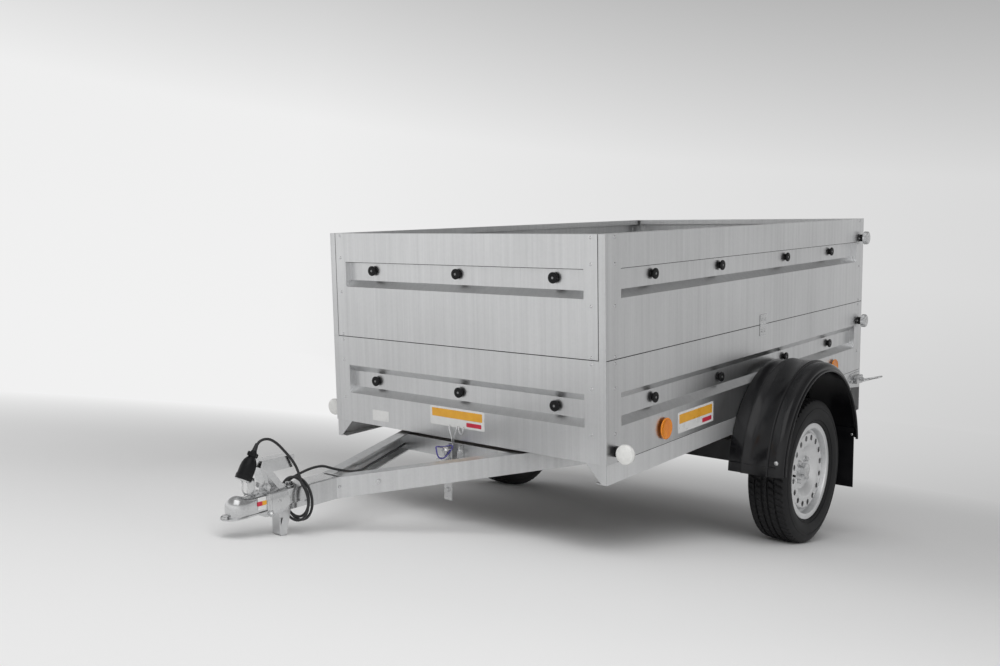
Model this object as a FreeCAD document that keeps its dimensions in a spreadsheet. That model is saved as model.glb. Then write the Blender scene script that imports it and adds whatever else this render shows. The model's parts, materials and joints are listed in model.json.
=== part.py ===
import FreeCAD, Part
import math
import os

import Sketcher
from FreeCAD import Placement, Rotation, Vector

# Utility trailer: a tilting sheet steel box in two tiers on a V-shaped drawbar.
# It is drawn level, with X forward from the box's front face, Y to the left and Z up from the road,
# and then tipped about its wheels until it stands on the foot under the coupling, as it parks.

SIZES = {
    # Box
    "box_length": 2109,
    "box_width": 1183,
    "wall_bottom": 523,
    "lower_tier_height": 311,
    "upper_tier_height": 372,
    "sill_height": 61,
    "sheet": 2,
    "sheet_gap": 0.2,
    "rim_width": 28,
    "rim_lip": 23,
    "recess_depth": 23,
    "steep_run": 1,
    "front_recess_margin": 77,
    "side_recess_margin": 83,
    # Corner posts
    "post_sheet": 3,
    "post_face": 25,
    "post_lap": 46,
    "post_leg": 47,
    "rear_post_width": 37,
    "foot_toe": 19,
    "foot_reach": 78,
    "foot_lap": 34,
    # Tailgates
    "gate_depth": 30,
    "gate_end_gap": 5,
    "gate_pin_up": 20,
    "gate_pin_radius": 6,
    "gate_pin_clearance": 0.1,
    "gate_pin_reach": 22,
    "gate_gap_below": 2,
    "gate_gap_above": 8,
    # Chassis and floor
    "sill_flange": 40,
    "sill_sheet": 2.5,
    "floor_board": 9,
    "floor_gap": 0.5,
    "floor_rear_gap": 15,
    "cross_member_depth": 50,
    "cross_member_width": 40,
    "first_cross_gap": 90,
    "middle_cross_member": 1450,
    "last_cross_member": 1800,
    "rear_sill_drop": 31,
    "rear_sill_width": 40,
    "lamp_bar_height": 129,
    "lamp_bar_flange": 45,
    # Axle and wheels
    "axle_back": 1166,
    "tyre_radius": 274,
    "tyre_width": 155,
    "tread_width": 128,
    "tyre_gap": 15,
    "bead_radius": 165,
    "bead_out": 57,
    "rim_flange_radius": 183,
    "rim_sheet": 4,
    "drop_radius": 148,
    "drop_in": 12,
    "drop_out": 26,
    "bead_clearance": 0.2,
    "bead_seat": 22,
    "disc_ring_radius": 112,
    "disc_ring_out": 38,
    "disc_hub_radius": 74,
    "disc_face_out": 22,
    "hub_bore_radius": 29,
    "vent_radius": 8.5,
    "vent_circle": 126,
    "vent_count": 16,
    "hub_radius": 68,
    "hub_length": 34,
    "hub_cap_radius": 27,
    "hub_cap_length": 26,
    "stub_radius": 14,
    "stub_clearance": 0.3,
    "axle_tube": 80,
    "axle_tube_lead": 181,
    "axle_tube_rise": 94,
    "arm_thickness": 22,
    "arm_end_radius": 34,
    "axle_plate": 8,
    "axle_plate_length": 150,
    # Mudguards
    "guard_radius": 381,
    "guard_rise": 35,
    "guard_sheet": 4,
    "guard_cover": 38.5,
    "guard_skirt": 32,
    "guard_inner_skirt": 24,
    "guard_band_rise": 4,
    "guard_band_inset": 39,
    "guard_band_outset": 58,
    "guard_bottom_rise": 28,
    "flap_inset": 72,
    "flap_outset": 92,
    "flap_sheet": 4,
    "flap_top": 375,
    "flap_clearance": 0.3,
    "flap_bottom": 130,
    # Drawbar, drawn level in its own frame and then raised at the nose about its hinge
    "hinge_back": 600,
    "hinge_rise": 9,
    "hinge_inset": 84.5,
    "beam_height": 62,
    "beam_flange": 38,
    "beam_sheet": 4,
    "nose_front": 659,
    "nose_bend": 560,
    "nose_half_width": 35,
    "hinge_sleeve_radius": 17,
    "hinge_sleeve_length": 44,
    "hinge_pin_radius": 8,
    "hinge_pin_clearance": 0.3,
    "hinge_ear": 6,
    "hinge_ear_gap": 1,
    "hinge_ear_radius": 20,
    "hinge_plate_length": 90,
    "cross_plate_back": 4,
    "cross_plate_width": 40,
    "tube_front": 800,
    "tube_half_width": 31,
    "tube_crease": 22,
    "tube_toe_half_width": 20,
    "tube_wall": 4,
    "ball_ahead": 880,
    "ball_rise": 12,
    "ball_radius": 25.2,
    "head_wall": 4,
    "head_skirt": 20,
    "head_lip": 45,
    "head_lip_height": 6,
    "neck_front_half_width": 27,
    "handle_front": 806,
    "handle_rear": 698,
    "handle_rise": 123,
    "handle_depth": 34,
    "handle_half_width": 19,
    "handle_sheet": 3,
    "handle_leg_front": 812,
    "handle_leg_lean": 22,
    "handle_leg_width": 8,
    "handle_brace_back": 40,
    "handle_brace_lean": 44,
    "handle_brace_width": 19,
    "handle_window_back": 21,
    "handle_window_drop": 6,
    "stand_top_front": 752,
    "stand_top_rear": 712,
    "stand_point": 744,
    "stand_drop": 98.5,
    "stand_heel_run": 17,
    "stand_heel_rise": 1,
    "stand_toe_rise": 5,
    "stand_half_width": 16,
    "stand_sheet": 4,
    "stand_window_run": 8,
    "stand_window_top": 18,
    "stand_window_height": 24,
    # Plug, its holder and the lead
    "plug_ahead": 856,
    "plug_rise": 80,
    "plug_lean": 29,
    "plug_radius": 21,
    "plug_length": 62,
    "plug_ring_radius": 23.5,
    "plug_ring_length": 13,
    "plug_gland_radius": 8,
    "plug_gland_length": 8,
    "plug_neck": 12,
    "holder_sheet": 3,
    "holder_width": 24,
    "holder_rear": 826,
    "lead_end_gap": 1.8,
    "lead_diameter": 7.5,
    "coil_back": 679,
    "coil_width": 32,
    "coil_drop": 8,
    "coil_inner_radius": 51.7,
    "coil_outer_radius": 69,
    "coil_lead_back": 11,
    "coil_lead_side": 16,
    "coil_lead_rise": 57,
    # Tilt lock
    "lock_ahead": 42,
    "lock_bar_width": 33,
    "lock_bar_sheet": 6,
    "lock_bar_rise": 19,
    "lock_bar_drop": 155,
    "lock_shelf_lead": 29,
    "lock_shelf_width": 60,
    "lock_shelf_drop": 19,
    "lock_pin_radius": 10.5,
    "lock_pin_lead": 15,
    "lock_pin_height": 40,
    # Lamps, reflectors, knobs and latches
    "knob_radius": 19,
    "knob_base_radius": 13,
    "knob_neck_radius": 8,
    "knob_base": 4,
    "knob_neck": 4,
    "knob_head": 8,
    "front_knob_inset": 197.5,
    "side_knob_first": 304,
    "side_knob_outer_pitch": 455,
    "side_knob_middle_pitch": 553,
    "marker_radius": 31,
    "marker_thick": 20,
    "marker_out": 46,
    "marker_back": 40,
    "marker_rise": 35,
    "marker_block_width": 16,
    "marker_block_height": 30,
    "reflector_radius": 35,
    "reflector_thick": 7,
    "front_reflector_back": 337,
    "rear_reflector_back": 1778,
    "reflector_rise": 52,
    "latch_drop": 86,
    "latch_in": 30,
    "latch_block": 30,
    "latch_block_depth": 15,
    "latch_knob_radius": 29,
    "latch_knob_thick": 20,
    "joiner_back": 1065,
    "joiner_width": 51,
    "joiner_height": 79,
    "joiner_sheet": 2.5,
    "lamp_length": 230,
    "lamp_height": 100,
    "lamp_depth": 40,
    "lamp_in": 20,
}
DRAWBAR_RISE_DEGREES = 1.2
RIGHT_ANGLE = 90
# Where the pressed recess starts and ends, as shares of its tier's height.
LOWER_RECESS_SHARES = (0.341, 0.669)
UPPER_RECESS_SHARES = (0.487, 0.723)
CUT_OVERRUN = 5
# A sidewall's points, from the rim's flange to the shoulder: shares of its height and of its bulge.
SIDEWALL_SHARES = [(0.12, 0.62), (0.3, 0.92), (0.48, 1.0), (0.7, 0.93), (0.9, 0.66)]
CROWN_SHARE = 0.5
BEAM_TRIM_SHARE = 0.97
BORE_REACH_SHARE = 4
LOOSE_CORNER_SHARE = 0.45
# The places of the lead's bends, in millimetres back, left and up: from the plug's gland to the
# top of the coil, and from the back of the coil into the right beam and on to the cross member.
FRONT_LEAD_BENDS = [
    (7.8, 0, 14),
    (27.3, 3, 24.3),
    (52.3, 9, 20.3),
    (75.3, 18, -0.7),
    (94.3, 28, -26.7),
    (115.3, 30, -58.7),
    (130.3, 28, -84.7),
    (138.3, 23, -106.7),
]
REAR_LEAD_BENDS = [
    (22, 6, 9),
    (56, 12, 16),
    (90, 14, 15),
    (122, 14, 1),
    (166, 14, -15),
    (231, -8, -34),
    (306, -54, -51),
    (381, -106, -59),
    (461, -142, -62),
    (546, -180, -60),
    (608, -206, -62),
]
REAR_LEAD_END = (-249, -58)

doc = FreeCAD.newDocument("utility_trailer")
sheet = doc.addObject("Spreadsheet::Sheet", "sizes")
for row, (name, value) in enumerate(SIZES.items(), start=1):
    sheet.set(f"A{row}", name)
    sheet.set(f"B{row}", str(value))
    sheet.setAlias(f"B{row}", name)
doc.recompute()


class Size:
    """A length: its value, and the formula over the sheet's names that gives it."""

    def __init__(self, value, text):
        self.value = value
        self.text = text

    def __add__(self, other):
        other = as_size(other)
        return Size(self.value + other.value, f"({self.text} + {other.text})")

    def __sub__(self, other):
        other = as_size(other)
        return Size(self.value - other.value, f"({self.text} - {other.text})")

    def __mul__(self, share):
        return Size(self.value * share, f"({self.text} * {share})")

    def __truediv__(self, share):
        return Size(self.value / share, f"({self.text} / {share})")

    def __neg__(self):
        return Size(-self.value, f"(-1 * {self.text})")

    __radd__ = __add__
    __rmul__ = __mul__


def as_size(length):
    return length if isinstance(length, Size) else Size(length, str(length))


class Names:
    """The sheet's lengths by name."""

    def __getattr__(self, name):
        return Size(SIZES[name], "sizes." + name)


s = Names()
ZERO = Size(0, "0")


def root_of(square):
    return Size(math.sqrt(square.value), f"sqrt({square.text})")


def squared(length):
    return Size(length.value ** 2, f"({length.text} ^ 2)")


OVERRUN = Size(CUT_OVERRUN, str(CUT_OVERRUN))
pieces = {}


# Sketches and solids

def new_body(label):
    body = doc.addObject("PartDesign::Body", label)
    body.Label = label
    body.AllowCompound = True
    return body


def new_sketch(body, plane, level):
    """A sketch on one of the body's own planes, at a level along X, Y or Z."""
    sketch = body.newObject("Sketcher::SketchObject", body.Name + "_sketch")
    origin = next(f for f in body.Origin.OriginFeatures if f.Role == plane + "_Plane")
    sketch.AttachmentSupport = [(origin, "")]
    sketch.MapMode = "FlatFace"
    level = -as_size(level) if plane == "XZ" else as_size(level)
    sketch.setExpression(".AttachmentOffset.Base.z", level.text)
    return sketch


def pin_point(sketch, geometry, point, where):
    """Ties one point of the sketch to a pair of sizes."""
    for direction, size in zip(("DistanceX", "DistanceY"), where):
        size = as_size(size)
        index = sketch.addConstraint(
            Sketcher.Constraint(direction, -1, 1, geometry, point, size.value)
        )
        sketch.setExpression(f"Constraints[{index}]", size.text)


def add_outline(sketch, corners):
    """A closed straight-sided outline, each corner tied to a pair of sizes."""
    points = [Vector(as_size(u).value, as_size(v).value, 0) for u, v in corners]
    first = sketch.GeometryCount
    count = len(points)
    for i in range(count):
        sketch.addGeometry(Part.LineSegment(points[i], points[(i + 1) % count]), False)
    for i in range(count):
        following = first + (i + 1) % count
        sketch.addConstraint(Sketcher.Constraint("Coincident", first + i, 2, following, 1))
    for i, corner in enumerate(corners):
        pin_point(sketch, first + i, 1, corner)


def add_circle(sketch, centre, radius):
    middle = Vector(as_size(centre[0]).value, as_size(centre[1]).value, 0)
    index = sketch.addGeometry(Part.Circle(middle, Vector(0, 0, 1), radius.value), False)
    pin_point(sketch, index, 3, centre)
    tie = sketch.addConstraint(Sketcher.Constraint("Radius", index, radius.value))
    sketch.setExpression(f"Constraints[{tie}]", radius.text)


def pad(body, plane, corners, start, length, circles=()):
    """Adds an outline, or circles, from a level, towards plus along the plane's normal axis."""
    sketch = new_sketch(body, plane, start)
    if corners:
        add_outline(sketch, corners)
    for centre, radius in circles:
        add_circle(sketch, centre, radius)
    feature = body.newObject("PartDesign::Pad", body.Name + "_pad")
    feature.Profile = sketch
    feature.setExpression("Length", as_size(length).text)
    feature.Reversed = plane == "XZ"
    return feature


def pocket(body, plane, corners, start, length, circles=()):
    """Cuts an outline, or circles, from a level, towards plus along the plane's normal axis."""
    sketch = new_sketch(body, plane, start)
    if corners:
        add_outline(sketch, corners)
    for centre, radius in circles:
        add_circle(sketch, centre, radius)
    doc.recompute()
    before = body.Shape.Volume
    feature = body.newObject("PartDesign::Pocket", body.Name + "_pocket")
    feature.Profile = sketch
    feature.setExpression("Length", as_size(length).text)
    feature.Reversed = plane != "XZ"
    doc.recompute()
    if not body.Shape.Volume < before:
        raise RuntimeError(f"{feature.Label} cuts nothing")
    return feature


def loft(body, kind, plane, first, first_level, second, second_level):
    """A straight-sided loft between two outlines: kind is Additive or Subtractive."""
    sections = []
    for corners, level in ((first, first_level), (second, second_level)):
        sketch = new_sketch(body, plane, level)
        add_outline(sketch, corners)
        sections.append(sketch)
    feature = body.newObject(f"PartDesign::{kind}Loft", body.Name + "_loft")
    feature.Profile = sections[0]
    feature.Sections = sections[1:]
    feature.Ruled = True
    return feature


def revolve(body, plane, corners):
    """Turns an outline drawn on XY about the body's Y axis."""
    sketch = new_sketch(body, plane, ZERO)
    add_outline(sketch, corners)
    feature = body.newObject("PartDesign::Revolution", body.Name + "_turn")
    feature.Profile = sketch
    feature.ReferenceAxis = (sketch, ["V_Axis"])
    feature.Angle = 360
    return feature


def rectangle(left, right, bottom, top):
    return [(left, bottom), (right, bottom), (right, top), (left, top)]


def keep(label, thing, place=Placement(), frame="bed"):
    """Registers a sub-part: its place in the level trailer, and the frame it is drawn in."""
    pieces[label] = (thing, place, frame)


def solid(label, shape, place=Placement(), frame="bed"):
    """A sub-part made by formula, where no sketched feature fits."""
    feature = doc.addObject("Part::Feature", label)
    feature.Label = label
    feature.Shape = shape
    keep(label, feature, place, frame)


def move(x=ZERO, y=ZERO, z=ZERO, turn=0):
    """A place in the level trailer, turned about Z."""
    base = Vector(as_size(x).value, as_size(y).value, as_size(z).value)
    return Placement(base, Rotation(Vector(0, 0, 1), turn))


# Heights and widths that follow from the driving sizes

half_width = s.box_width / 2
sill_bottom = s.wall_bottom - s.sill_height
seam_height = s.wall_bottom + s.lower_tier_height
rim_height = seam_height + s.upper_tier_height
wheel_out = half_width + s.tyre_gap + s.tyre_width / 2
hinge_height = sill_bottom + s.hinge_rise
ball_height = hinge_height + s.ball_rise
stand_bottom = hinge_height - s.stand_drop
hinge_side = half_width - s.hinge_inset


def recess_span(tier_height, shares):
    """The recess's lower and upper edge above the foot of its tier."""
    low, high = shares
    return tier_height * low, tier_height * high


# Walls: one sheet with a folded rim and a long pressed recess

def press_recess(body, half_length, bottom, top, top_run, top_skin):
    """Presses a recess with sloping sides inwards; a steep top needs a skin above it."""
    outer = rectangle(-half_length, half_length, bottom, top)
    floor = rectangle(
        s.recess_depth - half_length,
        half_length - s.recess_depth,
        bottom + s.recess_depth,
        top - top_run,
    )
    back_outer = rectangle(-half_length, half_length, bottom, top + top_skin)
    back_floor = rectangle(
        s.recess_depth - half_length,
        half_length - s.recess_depth,
        bottom + s.recess_depth,
        top - top_run + top_skin,
    )
    loft(body, "Additive", "XZ", back_outer, s.sheet, back_floor, s.recess_depth + s.sheet)
    loft(body, "Subtractive", "XZ", outer, ZERO, floor, s.recess_depth)


def wall(label, length, height, margin, span, steep, depth):
    """A wall drawn along X with its outer face on Y = 0 and its inside towards plus Y."""
    body = new_body(label)
    section = [
        (ZERO, ZERO),
        (s.sheet, ZERO),
        (s.sheet, height - s.sheet),
        (depth - s.sheet, height - s.sheet),
        (depth - s.sheet, height - s.rim_lip),
        (depth, height - s.rim_lip),
        (depth, height),
        (ZERO, height),
    ]
    pad(body, "YZ", section, -length / 2, length)
    top_run = s.steep_run if steep else s.recess_depth
    top_skin = s.sheet if steep else ZERO
    press_recess(body, length / 2 - margin, span[0], span[1], top_run, top_skin)
    return body


def trim_rim(body, length, height, trim, depth, top):
    """Cuts both ends of the rim back, from a depth inwards, to clear the next piece."""
    for start in (-length / 2 - OVERRUN, length / 2 - trim):
        corner = rectangle(depth, s.rim_width + OVERRUN, height - s.rim_lip - OVERRUN, top)
        pocket(body, "YZ", corner, start, trim + OVERRUN)


front_length = s.box_width - s.post_face * 2
front_margin = s.front_recess_margin - s.post_face
side_length = s.box_length - s.post_sheet * 2 - s.sheet_gap * 2
side_margin = s.side_recess_margin - s.post_sheet - s.sheet_gap

# The upper tier's recess has a steep upper side, the lower tier's slopes all round.
lower_span = recess_span(s.lower_tier_height, LOWER_RECESS_SHARES)
upper_span = recess_span(s.upper_tier_height, UPPER_RECESS_SHARES)
TIERS = (
    ("lower", s.wall_bottom, s.lower_tier_height, lower_span, False),
    ("upper", seam_height, s.upper_tier_height, upper_span, True),
)
for tier, bottom, height, span, steep in TIERS:
    label = f"front_wall_{tier}"
    body = wall(label, front_length, height, front_margin, span, steep, s.rim_width)
    front_trim = s.rim_width - s.post_face + s.sheet_gap
    trim_rim(body, front_length, height, front_trim, s.sheet, height + OVERRUN)
    keep(label, body, move(ZERO, ZERO, bottom, 90))
    for side, sign, turn in (("left", 1, 180), ("right", -1, 0)):
        label = f"{side}_wall_{tier}"
        body = wall(label, side_length, height, side_margin, span, steep, s.rim_width)
        side_trim = s.sheet + s.sheet_gap
        trim_rim(
            body, side_length, height, side_trim, s.rim_width - s.sheet * 2, height - s.sheet
        )
        keep(label, body, move(-s.box_length / 2, half_width * sign, bottom, turn))


# Corner posts: folded strips behind the walls' ends

def front_post(label, sign, bottom, top, legs_top, foot):
    """The folded post behind a front corner; sign is 1 on the left."""
    body = new_body(label)
    outer = half_width
    behind = s.sheet + s.sheet_gap
    section = [
        (ZERO, outer),
        (ZERO, outer - s.post_face + s.sheet_gap),
        (-behind, outer - s.post_face + s.sheet_gap),
        (-behind, outer - s.post_face - s.post_lap),
        (-behind - s.post_sheet, outer - s.post_face - s.post_lap),
        (-behind - s.post_sheet, outer - behind - s.post_sheet),
        (-s.post_leg - s.post_sheet, outer - behind - s.post_sheet),
        (-s.post_leg - s.post_sheet, outer - behind),
        (-s.post_sheet, outer - behind),
        (-s.post_sheet, outer),
    ]
    section = [(x, y * sign) for x, y in section]
    pad(body, "XY", section, bottom, legs_top - bottom)
    strip = [
        (ZERO, outer),
        (ZERO, outer - s.post_face + s.sheet_gap),
        (-behind, outer - s.post_face + s.sheet_gap),
        (-behind, outer - behind),
        (-s.post_sheet, outer - behind),
        (-s.post_sheet, outer),
    ]
    pad(body, "XY", [(x, y * sign) for x, y in strip], legs_top, top - legs_top)
    if foot:
        gusset = [
            (outer - behind, sill_bottom),
            (outer - s.foot_toe, sill_bottom),
            (outer - s.foot_reach, bottom),
            (outer - s.foot_reach, bottom + s.foot_lap),
            (outer - behind, bottom + s.foot_lap),
        ]
        gusset = [(y * sign, z) for y, z in gusset]
        pad(body, "YZ", gusset, -behind - s.post_sheet, s.post_sheet)
    return body


def rear_post(label, sign, bottom, top, legs_top):
    """The folded channel at a rear corner, which the tailgates close between."""
    body = new_body(label)
    back = -s.box_length
    outer = half_width
    behind = s.sheet + s.sheet_gap
    inner = outer - s.rear_post_width
    section = [
        (back, outer),
        (back, inner),
        (back + s.rim_width, inner),
        (back + s.rim_width, inner + s.post_sheet),
        (back + s.post_sheet, inner + s.post_sheet),
        (back + s.post_sheet, outer - behind - s.post_sheet),
        (back + s.post_leg, outer - behind - s.post_sheet),
        (back + s.post_leg, outer - behind),
        (back + s.post_sheet, outer - behind),
        (back + s.post_sheet, outer),
    ]
    pad(body, "XY", [(x, y * sign) for x, y in section], bottom, legs_top - bottom)
    cap = [
        (back, outer),
        (back, inner),
        (back + s.rim_width, inner),
        (back + s.rim_width, outer - s.rim_width - s.sheet_gap),
        (back + s.post_sheet, outer - s.rim_width - s.sheet_gap),
        (back + s.post_sheet, outer),
    ]
    pad(body, "XY", [(x, y * sign) for x, y in cap], legs_top, top - legs_top)
    return body


for side, sign in (("left", 1), ("right", -1)):
    lower_legs_top = seam_height - s.sheet - s.sheet_gap
    upper_legs_top = rim_height - s.sheet - s.sheet_gap
    label = f"front_post_lower_{side}"
    keep(label, front_post(label, sign, s.wall_bottom, seam_height, lower_legs_top, True))
    label = f"front_post_upper_{side}"
    keep(label, front_post(label, sign, seam_height, rim_height, upper_legs_top, False))
    label = f"rear_post_lower_{side}"
    keep(label, rear_post(label, sign, s.wall_bottom, seam_height, lower_legs_top))
    label = f"rear_post_upper_{side}"
    keep(label, rear_post(label, sign, seam_height, rim_height, upper_legs_top))


# Tailgates: pans that turn on pins near their lower edge

gate_length = s.box_width - s.rear_post_width * 2 - s.gate_end_gap * 2
lower_gate_height = s.lower_tier_height - s.gate_gap_above
upper_gate_height = s.upper_tier_height - s.gate_gap_below


def tailgate(label, height, span, steep):
    margin = s.front_recess_margin - s.rear_post_width
    body = wall(label, gate_length, height, margin, span, steep, s.gate_depth)
    pad(body, "XY", rectangle(-gate_length / 2, gate_length / 2, ZERO, s.gate_depth), ZERO, s.sheet)
    end = rectangle(ZERO, s.gate_depth, ZERO, height)
    pad(body, "YZ", end, -gate_length / 2, s.sheet)
    pad(body, "YZ", end, gate_length / 2 - s.sheet, s.sheet)
    hole = ((s.gate_depth / 2, s.gate_pin_up), s.gate_pin_radius + s.gate_pin_clearance)
    pocket(body, "YZ", None, -gate_length / 2 - OVERRUN, gate_length + OVERRUN * 2, [hole])
    return body


lower_gate_bottom = s.wall_bottom
upper_gate_bottom = seam_height + s.gate_gap_below
body = tailgate("tailgate_lower", lower_gate_height, lower_span, False)
keep("tailgate_lower", body, move(-s.box_length, ZERO, lower_gate_bottom, -90))
upper_gate_span = (upper_span[0] - s.gate_gap_below, upper_span[1] - s.gate_gap_below)
body = tailgate("tailgate_upper", upper_gate_height, upper_gate_span, True)
keep("tailgate_upper", body, move(-s.box_length, ZERO, upper_gate_bottom, -90))

pin_back = -s.box_length + s.gate_depth / 2
body = new_body("tailgate_pins")
pin_start = half_width - s.rear_post_width - s.gate_pin_reach
pin_length = s.gate_pin_reach
for gate_bottom in (lower_gate_bottom, upper_gate_bottom):
    circle = ((pin_back, gate_bottom + s.gate_pin_up), s.gate_pin_radius)
    pad(body, "XZ", None, pin_start, pin_length, [circle])
    pad(body, "XZ", None, -pin_start - pin_length, pin_length, [circle])
keep("tailgate_pins", body)


# Chassis: side sills, cross members, the rear sill and the lamp bar below it

def channel(back, front, low, high, wall_size, opens):
    """A C section on its XZ side; opens is 1 when its mouth faces forward."""
    web, mouth = (back, front) if opens > 0 else (front, back)
    inner = web + wall_size * opens
    return [
        (web, low),
        (mouth, low),
        (mouth, low + wall_size),
        (inner, low + wall_size),
        (inner, high - wall_size),
        (mouth, high - wall_size),
        (mouth, high),
        (web, high),
    ]


sill_front = -s.sheet - s.sheet_gap - s.post_sheet
for side, sign in (("left", 1), ("right", -1)):
    label = f"sill_{side}"
    body = new_body(label)
    section = channel(
        half_width - s.sill_flange, half_width, sill_bottom, s.wall_bottom, s.sill_sheet, -1
    )
    section = [(y * sign, z) for y, z in section]
    pad(body, "YZ", section, -s.box_length, s.box_length + sill_front)
    keep(label, body)

inner_half = half_width - s.sheet - s.floor_gap
body = new_body("floor_board")
floor_front = -s.sheet - s.floor_gap
floor_back = -s.box_length + s.gate_depth + s.floor_rear_gap
post_notch = s.sheet + s.sheet_gap + s.post_sheet + s.floor_gap
front_notch = s.foot_reach + s.floor_gap
outline = [
    (floor_back, -inner_half),
    (floor_back, inner_half),
    (floor_front, inner_half),
    (floor_front, -inner_half),
]
pad(body, "XY", outline, s.wall_bottom, s.floor_board)
for sign in (1, -1):
    cut = rectangle(
        -s.post_leg - s.post_sheet - s.floor_gap, OVERRUN,
        (half_width - post_notch) * sign, (half_width + OVERRUN) * sign,
    )
    pocket(body, "XY", cut, s.wall_bottom - OVERRUN, s.floor_board + OVERRUN * 2)
    cut = rectangle(
        -post_notch, OVERRUN, (half_width - front_notch) * sign, (half_width + OVERRUN) * sign
    )
    pocket(body, "XY", cut, s.wall_bottom - OVERRUN, s.floor_board + OVERRUN * 2)
    cut = rectangle(
        -s.box_length - OVERRUN, -s.box_length + s.post_leg + s.floor_gap,
        (half_width - post_notch) * sign, (half_width + OVERRUN) * sign,
    )
    pocket(body, "XY", cut, s.wall_bottom - OVERRUN, s.floor_board + OVERRUN * 2)
keep("floor_board", body)

body = new_body("cross_members")
member_half = half_width - s.sill_sheet
for back in (s.hinge_back + s.first_cross_gap, s.middle_cross_member, s.last_cross_member):
    section = channel(
        -back - s.cross_member_width / 2,
        -back + s.cross_member_width / 2,
        sill_bottom + s.sill_sheet,
        s.wall_bottom - s.sill_sheet,
        s.sill_sheet,
        1,
    )
    pad(body, "XZ", section, -member_half, member_half * 2)
keep("cross_members", body)

body = new_body("rear_sill")
rear_sill_top = lower_gate_bottom + s.gate_pin_up - s.rear_sill_drop
section = channel(
    -s.box_length, -s.box_length + s.rear_sill_width,
    sill_bottom + s.sill_sheet, rear_sill_top, s.sill_sheet, 1,
)
pad(body, "XZ", section, -member_half, member_half * 2)
keep("rear_sill", body)

body = new_body("lamp_bar")
section = channel(
    -s.box_length, -s.box_length + s.lamp_bar_flange,
    sill_bottom - s.lamp_bar_height, sill_bottom, s.sheet, 1,
)
pad(body, "XZ", section, -half_width, s.box_width)
keep("lamp_bar", body)


# Axle: a square rubber-sprung tube on two plates, with trailing arms to the stub axles

axle_x = -s.axle_back
axle_z = s.tyre_radius
tube_x = axle_x + s.axle_tube_lead
tube_z = axle_z + s.axle_tube_rise
tube_end = half_width - s.sill_flange
body = new_body("axle_tube")
square = rectangle(
    tube_x - s.axle_tube / 2, tube_x + s.axle_tube / 2,
    tube_z - s.axle_tube / 2, tube_z + s.axle_tube / 2,
)
pad(body, "XZ", square, -tube_end, tube_end * 2)
for sign in (1, -1):
    plate = [
        (tube_x - s.axle_plate_length / 2, sill_bottom),
        (tube_x + s.axle_plate_length / 2, sill_bottom),
        (tube_x + s.axle_tube / 2, tube_z + s.axle_tube / 2),
        (tube_x - s.axle_tube / 2, tube_z + s.axle_tube / 2),
    ]
    plate_start = tube_end * sign - s.axle_plate / 2
    pad(body, "XZ", plate, plate_start, s.axle_plate)
keep("axle_tube", body)


def arm_outline():
    """The trailing arm's flat outline, between the tube's end and the stub axle."""
    length = math.hypot(s.axle_tube_lead.value, s.axle_tube_rise.value)
    lean = math.atan2(s.axle_tube_rise.value, s.axle_tube_lead.value)
    across = Vector(-math.sin(lean), 0, math.cos(lean))
    low = Vector(axle_x.value, 0, axle_z.value)
    high = Vector(tube_x.value, 0, tube_z.value)
    r_low = s.arm_end_radius.value
    r_high = s.axle_tube.value / 2
    along = Vector(math.cos(lean), 0, math.sin(lean))
    edges = [
        Part.Arc(low + across * r_low, low - along * r_low, low - across * r_low).toShape(),
        Part.LineSegment(low - across * r_low, high - across * r_high).toShape(),
        Part.Arc(high - across * r_high, high + along * r_high, high + across * r_high).toShape(),
        Part.LineSegment(high + across * r_high, low + across * r_low).toShape(),
    ]
    return Part.Wire(edges)


for side, sign in (("left", 1), ("right", -1)):
    face = Part.Face(arm_outline())
    start = (tube_end + s.sheet_gap).value * sign
    arm = face.translated(Vector(0, start, 0)).extrude(Vector(0, s.arm_thickness.value * sign, 0))
    stub_end = wheel_out + s.disc_face_out
    stub_start = (tube_end + s.arm_thickness).value
    centre = Vector(axle_x.value, stub_start * sign, axle_z.value)
    stub = Part.makeCylinder(
        s.stub_radius.value, stub_end.value - stub_start, centre, Vector(0, sign, 0)
    )
    solid(f"axle_arm_{side}", arm.fuse(stub).removeSplitter())


# Wheels, each drawn about its own centre with plus Y outboard

def tyre_section():
    """Beads between the rim's flanges, bulged sidewalls and a filled carcass, in short straights."""
    bead = (s.bead_radius + s.bead_clearance).value
    bead_y = (s.bead_out - s.bead_clearance).value
    flange = (s.rim_flange_radius + s.bead_clearance).value
    bulge = s.tyre_width.value / 2 - bead_y
    tread_y = s.tread_width.value / 2
    top = s.tyre_radius.value
    shoulder = top - s.rim_sheet.value
    half = [(bead, bead_y), (flange, bead_y)]
    for up, out in SIDEWALL_SHARES:
        half.append((flange + (shoulder - flange) * up, bead_y + bulge * out))
    half += [(shoulder, tread_y), (top, tread_y * CROWN_SHARE)]
    points = [Vector(r, y, 0) for r, y in half]
    points += [Vector(r, -y, 0) for r, y in reversed(half)]
    return Part.Face(Part.makePolygon(points + points[:1]))


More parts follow.
